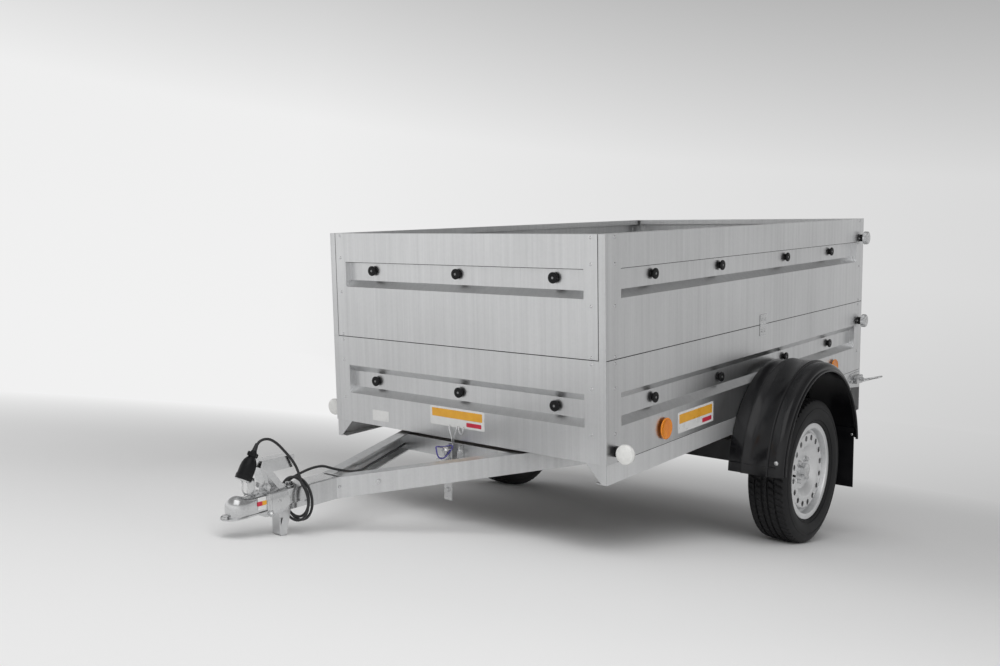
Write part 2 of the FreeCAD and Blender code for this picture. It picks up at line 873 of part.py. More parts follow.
rim_corners = [
    (s.rim_flange_radius, s.bead_out),
    (s.bead_radius, s.bead_out),
    (s.bead_radius, s.bead_out - s.bead_seat),
    (s.drop_radius, s.drop_out),
    (s.drop_radius, -s.drop_in),
    (s.bead_radius, s.bead_seat - s.bead_out),
    (s.bead_radius, -s.bead_out),
    (s.rim_flange_radius, -s.bead_out),
    (s.rim_flange_radius, -s.bead_out - s.rim_sheet),
    (s.bead_radius - s.rim_sheet, -s.bead_out - s.rim_sheet),
    (s.bead_radius - s.rim_sheet, s.bead_seat - s.bead_out),
    (s.drop_radius - s.rim_sheet, -s.drop_in),
    (s.disc_ring_radius, s.disc_ring_out - s.rim_sheet),
    (s.disc_hub_radius, s.disc_face_out),
    (s.hub_bore_radius, s.disc_face_out),
    (s.hub_bore_radius, s.disc_face_out + s.rim_sheet),
    (s.disc_hub_radius - s.rim_sheet, s.disc_face_out + s.rim_sheet),
    (s.disc_ring_radius - s.rim_sheet, s.disc_ring_out),
    (s.disc_ring_radius + s.rim_sheet, s.disc_ring_out),
    (s.drop_radius - s.rim_sheet, s.drop_in),
    (s.drop_radius - s.rim_sheet, s.drop_out),
    (s.bead_radius - s.rim_sheet, s.bead_out - s.bead_seat),
    (s.bead_radius - s.rim_sheet, s.bead_out + s.rim_sheet),
    (s.rim_flange_radius, s.bead_out + s.rim_sheet),
]

for side, sign in (("left", 1), ("right", -1)):
    centre = move(axle_x, wheel_out * sign, axle_z, 0 if sign > 0 else 180)
    tyre = tyre_section().revolve(Vector(0, 0, 0), Vector(0, 1, 0), 360)
    solid(f"tyre_{side}", tyre, centre)

    label = f"rim_{side}"
    body = new_body(label)
    revolve(body, "XY", rim_corners)
    doc.recompute()
    hole = pocket(
        body, "XZ", None, ZERO, s.bead_out, [((s.vent_circle, ZERO), s.vent_radius)]
    )
    vents = body.newObject("PartDesign::PolarPattern", label + "_vents")
    vents.Originals = [hole]
    vents.Axis = (hole.Profile[0], ["N_Axis"])
    vents.Angle = 360
    vents.Occurrences = s.vent_count.value
    body.Tip = vents
    keep(label, body, centre)

    label = f"hub_{side}"
    body = new_body(label)
    back = s.disc_face_out - s.hub_length
    bore = s.stub_radius + s.stub_clearance
    revolve(body, "XY", [
        (ZERO, s.disc_face_out + s.hub_cap_length),
        (s.hub_cap_radius, s.disc_face_out + s.hub_cap_length),
        (s.hub_cap_radius, s.disc_face_out),
        (s.hub_radius, s.disc_face_out),
        (s.hub_radius, back + s.hub_length / 2),
        (s.hub_cap_radius + s.rim_sheet * 2, back),
        (bore, back),
        (bore, s.disc_face_out + s.rim_sheet),
        (ZERO, s.disc_face_out + s.rim_sheet),
    ])
    keep(label, body, centre)


# Mudguards: moulded arches with a raised centre band and skirts

guard_out = wheel_out + s.tyre_width / 2 + s.guard_cover


def arch(radius, y_start, y_end, rise=0.0):
    """A half-moon block about the guard's centre, down to its lower edge."""
    centre_z = (axle_z + s.guard_rise).value
    low = centre_z + s.guard_bottom_rise.value - rise
    reach = math.sqrt(radius ** 2 - (low - centre_z) ** 2)
    x = axle_x.value
    front = Vector(x + reach, y_start, low)
    back = Vector(x - reach, y_start, low)
    crown = Vector(x, y_start, centre_z + radius)
    edges = [
        Part.Arc(front, crown, back).toShape(),
        Part.LineSegment(back, front).toShape(),
    ]
    return Part.Face(Part.Wire(edges)).extrude(Vector(0, y_end - y_start, 0))


def mudguard(sign):
    wall_y = (half_width + s.sheet_gap).value
    out = guard_out.value
    skin = s.guard_sheet.value
    radius = s.guard_radius.value
    over = CUT_OVERRUN
    shell = arch(radius, wall_y, out)
    band_in = (wheel_out - s.guard_band_inset).value
    band_out = (wheel_out + s.guard_band_outset).value
    band = arch(radius + s.guard_band_rise.value, band_in, band_out)
    hollow = arch(radius - skin, wall_y + skin, out - skin, over)
    outer_mouth = arch(radius - s.guard_skirt.value, out - skin - over, out + over, over)
    inner_mouth = arch(radius - s.guard_inner_skirt.value, wall_y - over, wall_y + skin + over, over)
    guard = shell.fuse(band).cut(hollow).cut(outer_mouth).cut(inner_mouth).removeSplitter()
    if sign < 0:
        guard = guard.mirror(Vector(0, 0, 0), Vector(0, 1, 0))
    return guard


for side, sign in (("left", 1), ("right", -1)):
    solid(f"mudguard_{side}", mudguard(sign))

body = new_body("mud_flaps")
guard_inside = s.guard_radius - s.guard_sheet
flap_reach = root_of(squared(guard_inside) - squared(s.flap_top - axle_z - s.guard_rise))
flap_x = axle_x - flap_reach + s.flap_clearance
for sign in (1, -1):
    flap_in = (wheel_out - s.flap_inset) * sign
    flap_out = (wheel_out + s.flap_outset) * sign
    blade = rectangle(flap_in, flap_out, s.flap_bottom, s.flap_top)
    pad(body, "YZ", blade, flap_x, s.flap_sheet)
keep("mud_flaps", body)


# Drawbar: two channels in a V, bolted to the coupling's tube at the nose

beam_low = hinge_height - s.beam_height / 2
beam_high = hinge_height + s.beam_height / 2
beam_run = s.nose_bend + s.hinge_back
beam_slope = (hinge_side + s.beam_flange / 2 - s.nose_half_width).value / beam_run.value
spread_angle = math.degrees(math.atan(beam_slope))


def beam(sign):
    """A channel that opens inwards, bent where it leaves the coupling's tube."""
    low, high = beam_low.value, beam_high.value
    flange, skin = s.beam_flange.value, s.beam_sheet.value
    nose = s.nose_half_width.value
    slope = beam_slope
    rear = -s.hinge_back.value + s.hinge_sleeve_radius.value / 2

    def strip(inset, z_low, z_high, depth):
        """The plan outline of the web, or of a flange, between two heights."""
        turn = math.tan(math.radians(spread_angle / 2))
        points = []
        for off in (inset, inset + depth):
            bend = s.nose_bend.value - off * turn
            y_rear = nose + (s.nose_bend.value - rear) * slope - off / math.cos(
                math.radians(spread_angle)
            )
            side = [
                Vector(s.nose_front.value, nose - off, z_low),
                Vector(bend, nose - off, z_low),
                Vector(rear, y_rear, z_low),
            ]
            points += side if not points else side[::-1]
        face = Part.Face(Part.makePolygon(points + points[:1]))
        return face.extrude(Vector(0, 0, z_high - z_low))

    web = strip(0, low, high, skin)
    top = strip(0, high - skin, high, flange)
    bottom = strip(0, low, low + skin, flange)
    shape = web.fuse([top, bottom])
    hinge_y = hinge_side.value
    tube_side = (s.tube_half_width + s.sheet_gap).value
    tube_room = Part.makeBox(
        s.tube_front.value - s.nose_bend.value * BEAM_TRIM_SHARE,
        tube_side + flange,
        s.beam_height.value * 2,
        Vector(s.nose_bend.value * BEAM_TRIM_SHARE, -flange, low - s.beam_height.value / 2),
    )
    ear_room = Part.makeBox(
        (s.hinge_ear_radius + s.hinge_ear_gap).value * 2,
        flange,
        s.beam_height.value * 2,
        Vector(
            -(s.hinge_back + s.hinge_ear_radius + s.hinge_ear_gap).value,
            hinge_y - s.hinge_sleeve_length.value / 2 - flange,
            low - s.beam_height.value / 2,
        ),
    )
    shape = shape.cut(tube_room).cut(ear_room)
    sleeve = Part.makeCylinder(
        s.hinge_sleeve_radius.value, s.hinge_sleeve_length.value,
        Vector(-s.hinge_back.value, hinge_y - s.hinge_sleeve_length.value / 2, hinge_height.value),
        Vector(0, 1, 0),
    )
    bore = Part.makeCylinder(
        (s.hinge_pin_radius + s.hinge_pin_clearance).value,
        s.hinge_sleeve_length.value * BORE_REACH_SHARE,
        Vector(
            -s.hinge_back.value,
            hinge_y - s.hinge_sleeve_length.value * BORE_REACH_SHARE / 2,
            hinge_height.value,
        ),
        Vector(0, 1, 0),
    )
    shape = shape.fuse(sleeve).cut(bore).removeSplitter()
    if sign < 0:
        shape = shape.mirror(Vector(0, 0, 0), Vector(0, 1, 0))
    return shape


for side, sign in (("left", 1), ("right", -1)):
    solid(f"drawbar_beam_{side}", beam(sign), frame="drawbar")

# The bed's hinge ears and pins hold the beams' sleeves on both sides.
sleeve_half = s.hinge_sleeve_length.value / 2
hinge_y = hinge_side.value
ears = []
for sign in (1, -1):
    for step in (-1, 1):
        inner = hinge_y + step * (sleeve_half + s.hinge_ear_gap.value)
        start = min(inner, inner + step * s.hinge_ear.value)
        y_low = start if sign > 0 else -start - s.hinge_ear.value
        plate = Part.makeBox(
            s.hinge_ear_radius.value * 2, s.hinge_ear.value,
            s.wall_bottom.value - hinge_height.value,
            Vector(-s.hinge_back.value - s.hinge_ear_radius.value, y_low, hinge_height.value),
        )
        round_end = Part.makeCylinder(
            s.hinge_ear_radius.value, s.hinge_ear.value,
            Vector(-s.hinge_back.value, y_low, hinge_height.value), Vector(0, 1, 0),
        )
        ears.append(plate.fuse(round_end))
    reach = sleeve_half + s.hinge_ear_gap.value + s.hinge_ear.value
    plate_in = hinge_y - reach
    plate_out = (half_width - s.sill_flange).value
    ears.append(Part.makeBox(
        s.hinge_plate_length.value, plate_out - plate_in, s.sill_sheet.value,
        Vector(
            -(s.hinge_back + s.hinge_plate_length / 2).value,
            plate_in if sign > 0 else -plate_out,
            (s.wall_bottom - s.sill_sheet).value,
        ),
    ))
    pin = Part.makeCylinder(
        s.hinge_pin_radius.value, reach * 2,
        Vector(-s.hinge_back.value, hinge_y * sign - reach, hinge_height.value), Vector(0, 1, 0),
    )
    ears.append(pin)
joined = ears[0].fuse(ears[1:]).removeSplitter()
solid("tilt_hinges", joined)

body = new_body("drawbar_cross_member")
section = channel(
    -s.cross_plate_back - s.cross_plate_width, -s.cross_plate_back,
    beam_low + s.beam_sheet, beam_high - s.beam_sheet, s.beam_sheet, -1,
)
web_skin = s.beam_sheet.value / math.cos(math.radians(spread_angle))
cross_half = s.nose_half_width + (s.nose_bend + s.cross_plate_back) * beam_slope - web_skin
pad(body, "XZ", section, -cross_half, cross_half * 2)
keep("drawbar_cross_member", body, frame="drawbar")

body = new_body("coupling_tube")
profile = [
    (-s.tube_half_width, beam_high + s.beam_sheet / 2),
    (s.tube_half_width, beam_high + s.beam_sheet / 2),
    (s.tube_half_width, beam_low + s.tube_crease),
    (s.tube_toe_half_width, beam_low + s.beam_sheet / 2),
    (-s.tube_toe_half_width, beam_low + s.beam_sheet / 2),
    (-s.tube_half_width, beam_low + s.tube_crease),
]
tube_rear = s.nose_bend
pad(body, "YZ", profile, tube_rear, s.tube_front - tube_rear)
hollow = [
    (-s.tube_half_width + s.tube_wall, beam_high + s.beam_sheet / 2 - s.tube_wall),
    (s.tube_half_width - s.tube_wall, beam_high + s.beam_sheet / 2 - s.tube_wall),
    (s.tube_half_width - s.tube_wall, beam_low + s.tube_crease + s.tube_wall / 2),
    (s.tube_toe_half_width - s.tube_wall / 2, beam_low + s.beam_sheet / 2 + s.tube_wall),
    (-s.tube_toe_half_width + s.tube_wall / 2, beam_low + s.beam_sheet / 2 + s.tube_wall),
    (-s.tube_half_width + s.tube_wall, beam_low + s.tube_crease + s.tube_wall / 2),
]
pocket(body, "YZ", hollow, tube_rear - OVERRUN, s.tube_front - tube_rear + OVERRUN * 2)
keep("coupling_tube", body, frame="drawbar")


def cup_outline(radius, drop, foot_radius, foot_height):
    """Half of a domed cup: a quarter circle above the ball's centre, a wall and a foot."""
    ball_x, ball_z = s.ball_ahead.value, ball_height.value
    turn = math.radians(RIGHT_ANGLE / 2)

    def at(r, z):
        return Vector(ball_x + r, 0, ball_z + z)

    shoulder = at(radius * math.cos(turn), radius * math.sin(turn))
    corners = [
        at(radius, 0),
        at(radius, foot_height - drop),
        at(foot_radius, foot_height - drop),
        at(foot_radius, -drop),
        at(0, -drop),
        at(0, radius),
    ]
    if foot_radius == radius:
        corners = [corners[0]] + corners[3:]
    edges = [Part.Arc(at(0, radius), shoulder, at(radius, 0)).toShape()]
    for first, second in zip(corners, corners[1:]):
        edges.append(Part.LineSegment(first, second).toShape())
    face = Part.Face(Part.Wire(edges))
    return face.revolve(Vector(ball_x, 0, ball_z), Vector(0, 0, 1), 360)


def coupling_head():
    """A pressed cup for the ball, with a lip, running back into the tube's end."""
    skirt = s.head_skirt.value
    outer = (s.ball_radius + s.head_wall).value
    front = s.neck_front_half_width.value
    back = s.tube_half_width.value
    top = (beam_high + s.beam_sheet / 2).value
    low = (beam_low + s.tube_crease).value
    bottom = ball_height.value - skirt

    def slab(x, half, z_low):
        corners = [
            Vector(x, -half, z_low), Vector(x, half, z_low),
            Vector(x, half, top), Vector(x, -half, top),
        ]
        return Part.makePolygon(corners + corners[:1])

    neck = Part.makeLoft([
        slab(s.ball_ahead.value, front, bottom), slab(s.tube_front.value, back, low),
    ], True, True)
    cup = cup_outline(outer, skirt, s.head_lip.value, s.head_lip_height.value)
    socket = cup_outline(s.ball_radius.value, skirt + CUT_OVERRUN, s.ball_radius.value, 0)
    return cup.fuse(neck).cut(socket).removeSplitter()


solid("coupling_head", coupling_head(), frame="drawbar")

body = new_body("coupling_handle")
tube_top = beam_high + s.beam_sheet / 2
handle_foot = tube_top + s.sheet_gap
handle_top = hinge_height + s.handle_rise
leg_foot = s.handle_leg_front - s.handle_leg_lean
brace_top = s.handle_leg_front - s.handle_brace_back
brace_foot = brace_top - s.handle_brace_lean
lever = [
    (s.handle_rear, handle_top - s.handle_depth),
    (brace_top, handle_top - s.handle_depth),
    (brace_foot, handle_foot),
    (leg_foot, handle_foot),
    (s.handle_leg_front, handle_top - s.handle_depth / 2),
    (s.handle_front, handle_top),
    (s.handle_rear, handle_top),
]
pad(body, "XZ", lever, -s.handle_half_width, s.handle_half_width * 2)
inner_half_width = s.handle_half_width - s.handle_sheet
room = [
    (s.handle_rear - OVERRUN, handle_foot - OVERRUN),
    (leg_foot - s.handle_sheet, handle_foot - OVERRUN),
    (leg_foot - s.handle_sheet, handle_foot),
    (s.handle_leg_front - s.handle_sheet, handle_top - s.handle_depth / 2),
    (s.handle_front - s.handle_sheet, handle_top - s.handle_sheet),
    (s.handle_rear - OVERRUN, handle_top - s.handle_sheet),
]
pocket(body, "XZ", room, -inner_half_width, inner_half_width * 2)
opening = [
    (s.handle_leg_front - s.handle_window_back, handle_top - s.handle_depth - s.handle_window_drop),
    (leg_foot - s.handle_leg_width, handle_foot - OVERRUN),
    (brace_foot + s.handle_brace_width, handle_foot - OVERRUN),
]
pocket(body, "XZ", opening, -s.handle_half_width - OVERRUN, (s.handle_half_width + OVERRUN) * 2)
keep("coupling_handle", body, frame="drawbar")

body = new_body("coupling_stand")
stand_top = beam_low + s.beam_sheet / 2 - s.sheet_gap
side_view = [
    (s.stand_top_rear, stand_top),
    (s.stand_top_front, stand_top),
    (s.stand_top_front, stand_bottom + s.stand_toe_rise),
    (s.stand_point, stand_bottom),
    (s.stand_top_rear + s.stand_heel_run, stand_bottom + s.stand_heel_rise),
]
pad(body, "XZ", side_view, -s.stand_half_width, s.stand_half_width * 2)
window_front = s.stand_top_front - s.stand_sheet
window_top = stand_top - s.stand_window_top
window = [
    (window_front - s.stand_window_run, window_top),
    (window_front, window_top),
    (window_front, window_top - s.stand_window_height),
]
pocket(body, "XZ", window, -s.stand_half_width - OVERRUN, s.stand_half_width * 2 + OVERRUN * 2)
keep("coupling_stand", body, frame="drawbar")


# Plug in its holder, the lead's coil round the tube, and the lead

lean = math.radians(SIZES["plug_lean"])
plug_axis = Vector(-math.sin(lean), 0, math.cos(lean))
plug_base = Vector(s.plug_ahead.value, 0, (hinge_height + s.plug_rise).value)


def light_plug():
    ring = Part.makeCylinder(
        s.plug_ring_radius.value, s.plug_ring_length.value, plug_base, plug_axis
    )
    barrel = Part.makeCylinder(s.plug_radius.value, s.plug_length.value, plug_base, plug_axis)
    shoulder = Part.makeCone(
        s.plug_radius.value, s.plug_gland_radius.value, s.plug_neck.value,
        plug_base + plug_axis * s.plug_length.value, plug_axis,
    )
    gland = Part.makeCylinder(
        s.plug_gland_radius.value, s.plug_neck.value + s.plug_gland_length.value,
        plug_base + plug_axis * s.plug_length.value, plug_axis,
    )
    return ring.fuse([barrel, shoulder, gland]).removeSplitter()


solid("light_plug", light_plug(), frame="drawbar")


def plug_holder():
    """A bent strap that rises from the head and carries the plug on a seat."""
    skin = s.holder_sheet.value
    half = s.holder_width.value / 2
    seat = Part.makeCylinder(s.plug_radius.value, skin, plug_base - plug_axis * skin, plug_axis)
    foot_low = (tube_top + s.sheet_gap).value
    strap = Part.makeBox(
        skin, half * 2, plug_base.z - foot_low, Vector(s.holder_rear.value, -half, foot_low)
    )
    return seat.fuse(strap)


solid("plug_holder", plug_holder(), frame="drawbar")

# Tilt lock: a flat bar with a sprung pin on a shelf ahead of the cross member
body = new_body("tilt_lock")
bar = rectangle(
    -s.lock_bar_width / 2, s.lock_bar_width / 2,
    hinge_height - s.lock_bar_drop, hinge_height + s.lock_bar_rise,
)
shelf_height = hinge_height - s.lock_shelf_drop
pad(body, "YZ", bar, s.lock_ahead, s.lock_bar_sheet)
shelf = rectangle(
    -s.cross_plate_back, s.lock_ahead + s.lock_shelf_lead,
    -s.lock_shelf_width / 2, s.lock_shelf_width / 2,
)
pad(body, "XY", shelf, shelf_height, s.beam_sheet)
pad(
    body, "XY", None, shelf_height, s.lock_pin_height,
    [((s.lock_ahead + s.lock_pin_lead, ZERO), s.lock_pin_radius)],
)
keep("tilt_lock", body, frame="drawbar")


# Lamps, reflectors, knobs and latches

def turned(corners):
    """A solid turned about X from radius and length pairs."""
    points = [Vector(as_size(x).value, 0, as_size(r).value) for r, x in corners]
    face = Part.Face(Part.makePolygon(points + points[:1]))
    return face.revolve(Vector(0, 0, 0), Vector(1, 0, 0), 360)


def knob():
    """A cover knob along X: a base, a neck and a round head."""
    neck_end = s.knob_base + s.knob_neck
    return turned([
        (ZERO, ZERO),
        (s.knob_base_radius, ZERO),
        (s.knob_base_radius, s.knob_base),
        (s.knob_neck_radius, s.knob_base),
        (s.knob_neck_radius, neck_end),
        (s.knob_radius, neck_end),
        (s.knob_radius, neck_end + s.knob_head),
        (ZERO, neck_end + s.knob_head),
    ])


def placed(shape, x, y, z, turn=0):
    copy = shape.copy()
    copy.Placement = Placement(
        Vector(as_size(x).value, as_size(y).value, as_size(z).value),
        Rotation(Vector(0, 0, 1), turn),
    )
    return copy


front_pitch = half_width - s.front_knob_inset
side_stations = [s.side_knob_first]
for pitch in (s.side_knob_outer_pitch, s.side_knob_middle_pitch, s.side_knob_outer_pitch):
    side_stations.append(side_stations[-1] + pitch)
upper_floor = upper_span[0] + s.recess_depth + upper_span[1]
lower_floor = lower_span[0] + lower_span[1]
knob_levels = (seam_height + upper_floor / 2, s.wall_bottom + lower_floor / 2)
knobs = []
for level in knob_levels:
    for step in (-1, 0, 1):
        knobs.append(placed(knob(), -s.recess_depth, front_pitch * step, level))
    for station in side_stations:
        side_y = half_width - s.recess_depth
        knobs.append(placed(knob(), -station, side_y, level, 90))
        knobs.append(placed(knob(), -station, -side_y, level, -90))
solid("cover_knobs", Part.makeCompound(knobs))
for label, level in zip(("tailgate_upper_knobs", "tailgate_lower_knobs"), knob_levels):
    row_of_knobs = [
        placed(knob(), -s.box_length + s.recess_depth, front_pitch * step, level, 180)
        for step in (-1, 0, 1)
    ]
    solid(label, Part.makeCompound(row_of_knobs))

marker_height = s.wall_bottom + s.marker_rise
blocks = []
discs = []
for sign in (1, -1):
    y = (half_width + s.marker_out) * sign
    disc = turned([
        (ZERO, ZERO), (s.marker_radius, ZERO), (s.marker_radius, s.marker_thick),
        (ZERO, s.marker_thick),
    ])
    discs.append(placed(disc, -s.marker_back, y, marker_height))
    width = s.marker_out.value
    low = half_width.value if sign > 0 else -half_width.value - width
    blocks.append(Part.makeBox(
        s.marker_block_width.value, width, s.marker_block_height.value,
        Vector(
            -(s.marker_back + s.marker_block_width).value, low,
            (marker_height - s.marker_block_height / 2).value,
        ),
    ))
solid("marker_lamps", Part.makeCompound(discs))
solid("marker_brackets", Part.makeCompound(blocks))

discs = []
for back in (s.front_reflector_back, s.rear_reflector_back):
    for sign in (1, -1):
        disc = turned([
            (ZERO, ZERO), (s.reflector_radius, ZERO), (s.reflector_radius, s.reflector_thick),
            (ZERO, s.reflector_thick),
        ])
        discs.append(placed(disc, -back, half_width * sign, s.wall_bottom + s.reflector_rise, 90 * sign))
solid("side_reflectors", Part.makeCompound(discs))

blocks = []
discs = []
for tier_top in (seam_height, rim_height):
    z = tier_top - s.latch_drop
    for sign in (1, -1):
        half = s.latch_block.value / 2
        x = (-s.box_length + s.latch_in).value
        low = half_width.value if sign > 0 else -(half_width + s.latch_block_depth).value
        blocks.append(Part.makeBox(
            half * 2, s.latch_block_depth.value, half * 2, Vector(x - half, low, z.value - half)
        ))
        disc = turned([
            (ZERO, ZERO), (s.latch_knob_radius, ZERO), (s.latch_knob_radius, s.latch_knob_thick),
            (ZERO, s.latch_knob_thick),
        ])
        y = (half_width + s.latch_block_depth) * sign
        discs.append(placed(disc, -s.box_length + s.latch_in, y, z, 90 * sign))
solid("latch_blocks", Part.makeCompound(blocks))
solid("latch_knobs", Part.makeCompound(discs))

body = new_body("tier_joiners")
plate = rectangle(
    -s.joiner_back - s.joiner_width / 2, -s.joiner_back + s.joiner_width / 2,
    seam_height - s.joiner_height / 2, seam_height + s.joiner_height / 2,
)
pad(body, "XZ", plate, half_width, s.joiner_sheet)
pad(body, "XZ", plate, -half_width - s.joiner_sheet, s.joiner_sheet)
keep("tier_joiners", body)

body = new_body("rear_lamps")
lamp_top = sill_bottom - s.lamp_in
for sign in (1, -1):
    face = rectangle(
        (half_width - s.lamp_in / 2) * sign, (half_width - s.lamp_in / 2 - s.lamp_length) * sign,
        lamp_top - s.lamp_height, lamp_top,
    )
    pad(body, "YZ", face, -s.box_length - s.lamp_depth, s.lamp_depth)
keep("rear_lamps", body)


# The lead's coil hangs round the tube

coil_height = (hinge_height - s.coil_drop).value
coil_start = (s.coil_back - s.coil_width / 2).value
coil_ring = Part.makeCylinder(
    s.coil_outer_radius.value, s.coil_width.value,
    Vector(coil_start, 0, coil_height), Vector(1, 0, 0),
).cut(Part.makeCylinder(
    s.coil_inner_radius.value, s.coil_width.value + CUT_OVERRUN * 2,
    Vector(coil_start - CUT_OVERRUN, 0, coil_height), Vector(1, 0, 0),
))
solid("lead_coil", coil_ring, frame="drawbar")


def lead_tube(points, diameter):
    """Straight runs joined by tangent arcs, each arc as large as its two runs allow."""
    edges = []
    radii = []
    start = points[0]
    for before, corner, after in zip(points, points[1:], points[2:]):
        run_in, run_out = corner - before, after - corner
        turn = run_in.getAngle(run_out)
        back = min(run_in.Length, run_out.Length) * LOOSE_CORNER_SHARE
        radii.append(back / math.tan(turn / 2))
        enter = corner - run_in.normalize() * back
        leave = corner + run_out.normalize() * back
        bisector = (enter + leave) * 0.5 - corner
        centre_away = math.hypot(radii[-1], back)
        middle = corner + bisector.normalize() * (centre_away - radii[-1])
        edges.append(Part.LineSegment(start, enter).toShape())
        edges.append(Part.Arc(enter, middle, leave).toShape())
        start = leave
    edges.append(Part.LineSegment(start, points[-1]).toShape())
    path = Part.Wire(edges)
    section = Part.Wire(Part.Circle(points[0], points[1] - points[0], diameter / 2).toShape())
    tube = path.makePipeShell([section], True, False)
    expected = math.pi * (diameter / 2) ** 2 * path.Length
    print("lead: length", round(path.Length, 1), "radii", [round(r, 1) for r in radii],
          "volume share", round(tube.Volume / expected, 4))
    return tube


gland_end = plug_base + plug_axis * (
    s.plug_length.value + s.plug_neck.value + s.plug_gland_length.value
)
front_lead = [gland_end]
for back, left, up in FRONT_LEAD_BENDS:
    front_lead.append(gland_end + Vector(-back, left, up))
solid("light_lead", lead_tube(front_lead, s.lead_diameter.value), frame="drawbar")

coil_rear = Vector(
    (s.coil_back - s.coil_lead_back).value, -s.coil_lead_side.value,
    coil_height + s.coil_lead_rise.value,
)
rear_lead = [coil_rear]
for back, left, up in REAR_LEAD_BENDS:
    rear_lead.append(coil_rear + Vector(-back, left, up))
end_left, end_up = REAR_LEAD_END
end_ahead = (s.lead_end_gap - s.cross_plate_back).value
rear_lead.append(Vector(end_ahead, end_left, coil_rear.z + end_up))
solid("light_lead_rear", lead_tube(rear_lead, s.lead_diameter.value), frame="drawbar")


# Places: the drawbar rises a little to its nose, and the whole trailer tips onto its foot

hinge = Vector(-s.hinge_back.value, 0, hinge_height.value)
rise = Placement(Vector(0, 0, 0), Rotation(Vector(0, 1, 0), -DRAWBAR_RISE_DEGREES), hinge)
foot = rise.multVec(Vector(s.stand_point.value, 0, stand_bottom.value))
wheel_centre = Vector(axle_x.value, 0, axle_z.value)
lever_arm = foot - wheel_centre
park_angle = math.degrees(
    math.asin(s.tyre_radius.value / math.hypot(lever_arm.x, lever_arm.z))
    + math.atan2(lever_arm.z, lever_arm.x)
)
tip = Placement(Vector(0, 0, 0), Rotation(Vector(0, 1, 0), park_angle), wheel_centre)
FREE_LEAD = ("light_lead", "light_lead_rear", "lead_coil", "light_plug")

for label, (thing, place, frame) in pieces.items():
    thing.Placement = tip * (rise if frame == "drawbar" else Placement()) * place
doc.recompute()
boxes = [
    thing.Shape.optimalBoundingBox(False, False)
    for label, (thing, place, frame) in pieces.items() if label not in FREE_LEAD
]
middle = (min(b.XMin for b in boxes) + max(b.XMax for b in boxes)) / 2
floor = min(b.ZMin for b in boxes)
park = Placement(Vector(-middle, 0, -floor), Rotation()) * tip
for label, (thing, place, frame) in pieces.items():
    thing.Placement = park * (rise if frame == "drawbar" else Placement()) * place
doc.recompute()

for item in doc.Objects:
    if "Invalid" in item.State or "Error" in item.State:
        raise RuntimeError(f"{item.Label} failed: {item.State}")
for label, (thing, place, frame) in pieces.items():
    if thing.Shape.isNull() or not thing.Shape.isValid() or not thing.Shape.Solids:
        raise RuntimeError(f"{label} has no valid solid")

os.makedirs("parts", exist_ok=True)
for label, (thing, place, frame) in pieces.items():
    thing.Shape.exportStep(f"parts/{label}.step")

print("nodes", len(pieces))
print("park angle", round(park_angle, 4), "shift", round(-middle, 3), round(-floor, 3))


def tell(name, point, frame="bed"):
    where = (park * (rise if frame == "drawbar" else Placement())).multVec(point)
    print("point", name, round(where.x / 1000, 6), round(where.y / 1000, 6), round(where.z / 1000, 6))


tell("tilt", hinge)
tell("wheel_left", Vector(axle_x.value, wheel_out.value, axle_z.value))
tell("wheel_right", Vector(axle_x.value, -wheel_out.value, axle_z.value))
for name, gate_bottom in (("gate_lower", lower_gate_bottom), ("gate_upper", upper_gate_bottom)):
    tell(name, Vector(pin_back.value, 0, (gate_bottom + s.gate_pin_up).value))
tell("ball", Vector(s.ball_ahead.value, 0, ball_height.value), "drawbar")
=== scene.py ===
# %% [markdown]
# # Utility trailer
# The trailer is a two-tier box of folded galvanised sheet on a V-shaped drawbar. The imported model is
# the frame: every piece here is placed in its metres, and nothing in it is moved or reshaped.

# %% Load the frame
import bpy
import bmesh
import json
import math
from mathutils import Matrix, Vector


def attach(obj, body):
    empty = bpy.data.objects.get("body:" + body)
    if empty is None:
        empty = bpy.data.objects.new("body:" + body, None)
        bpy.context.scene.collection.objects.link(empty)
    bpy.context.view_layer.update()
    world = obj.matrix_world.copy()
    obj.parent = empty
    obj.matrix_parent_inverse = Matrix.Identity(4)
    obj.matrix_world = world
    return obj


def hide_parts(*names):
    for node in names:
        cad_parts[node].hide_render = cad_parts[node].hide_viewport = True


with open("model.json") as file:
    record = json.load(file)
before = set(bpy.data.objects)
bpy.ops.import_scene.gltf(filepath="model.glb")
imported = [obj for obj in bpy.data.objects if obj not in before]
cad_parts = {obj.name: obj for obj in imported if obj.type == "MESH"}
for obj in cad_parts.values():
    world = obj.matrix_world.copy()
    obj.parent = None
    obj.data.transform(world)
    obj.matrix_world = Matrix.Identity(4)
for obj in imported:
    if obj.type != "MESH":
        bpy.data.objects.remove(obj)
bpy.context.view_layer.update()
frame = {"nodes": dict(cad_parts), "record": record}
NODES = frame["nodes"]

# %% [markdown]
# The real trailer is drawn level, in millimetres, and then tips about its wheels until its foot
# stands on the ground. Detail is far easier to place in the level drawing, so two matrices carry
# level millimetres to the frame: `BED` for the box, and `BAR` for the drawbar, whose nose is raised
# a little. Both are worked out from where the frame has its wheel and its tilt hinge. `turned` says
# in words which way a flat drawing faces, so `ACROSS` faces forwards and `beside` faces a side.

# %% Level drawing to frame
JOINT_AT = {j["name"]: Vector(j["pos_m"]) for j in frame["record"]["behaviour"]["joints"]}
wheel = JOINT_AT["wheel_left_spin"]
tilt = JOINT_AT["bed_tilt"]
AXLE_X, AXLE_Z = -1166, 274
HINGE_X, HINGE_Z = -600, 471
level_slope = math.atan2(HINGE_Z - AXLE_Z, HINGE_X - AXLE_X)
PARK = level_slope - math.atan2(tilt.z - wheel.z, tilt.x - wheel.x)
RISE = math.radians(1.2)


def turn_y(angle):
    return Matrix.Rotation(angle, 4, "Y")


def shift(x, y, z):
    return Matrix.Translation((x, y, z))


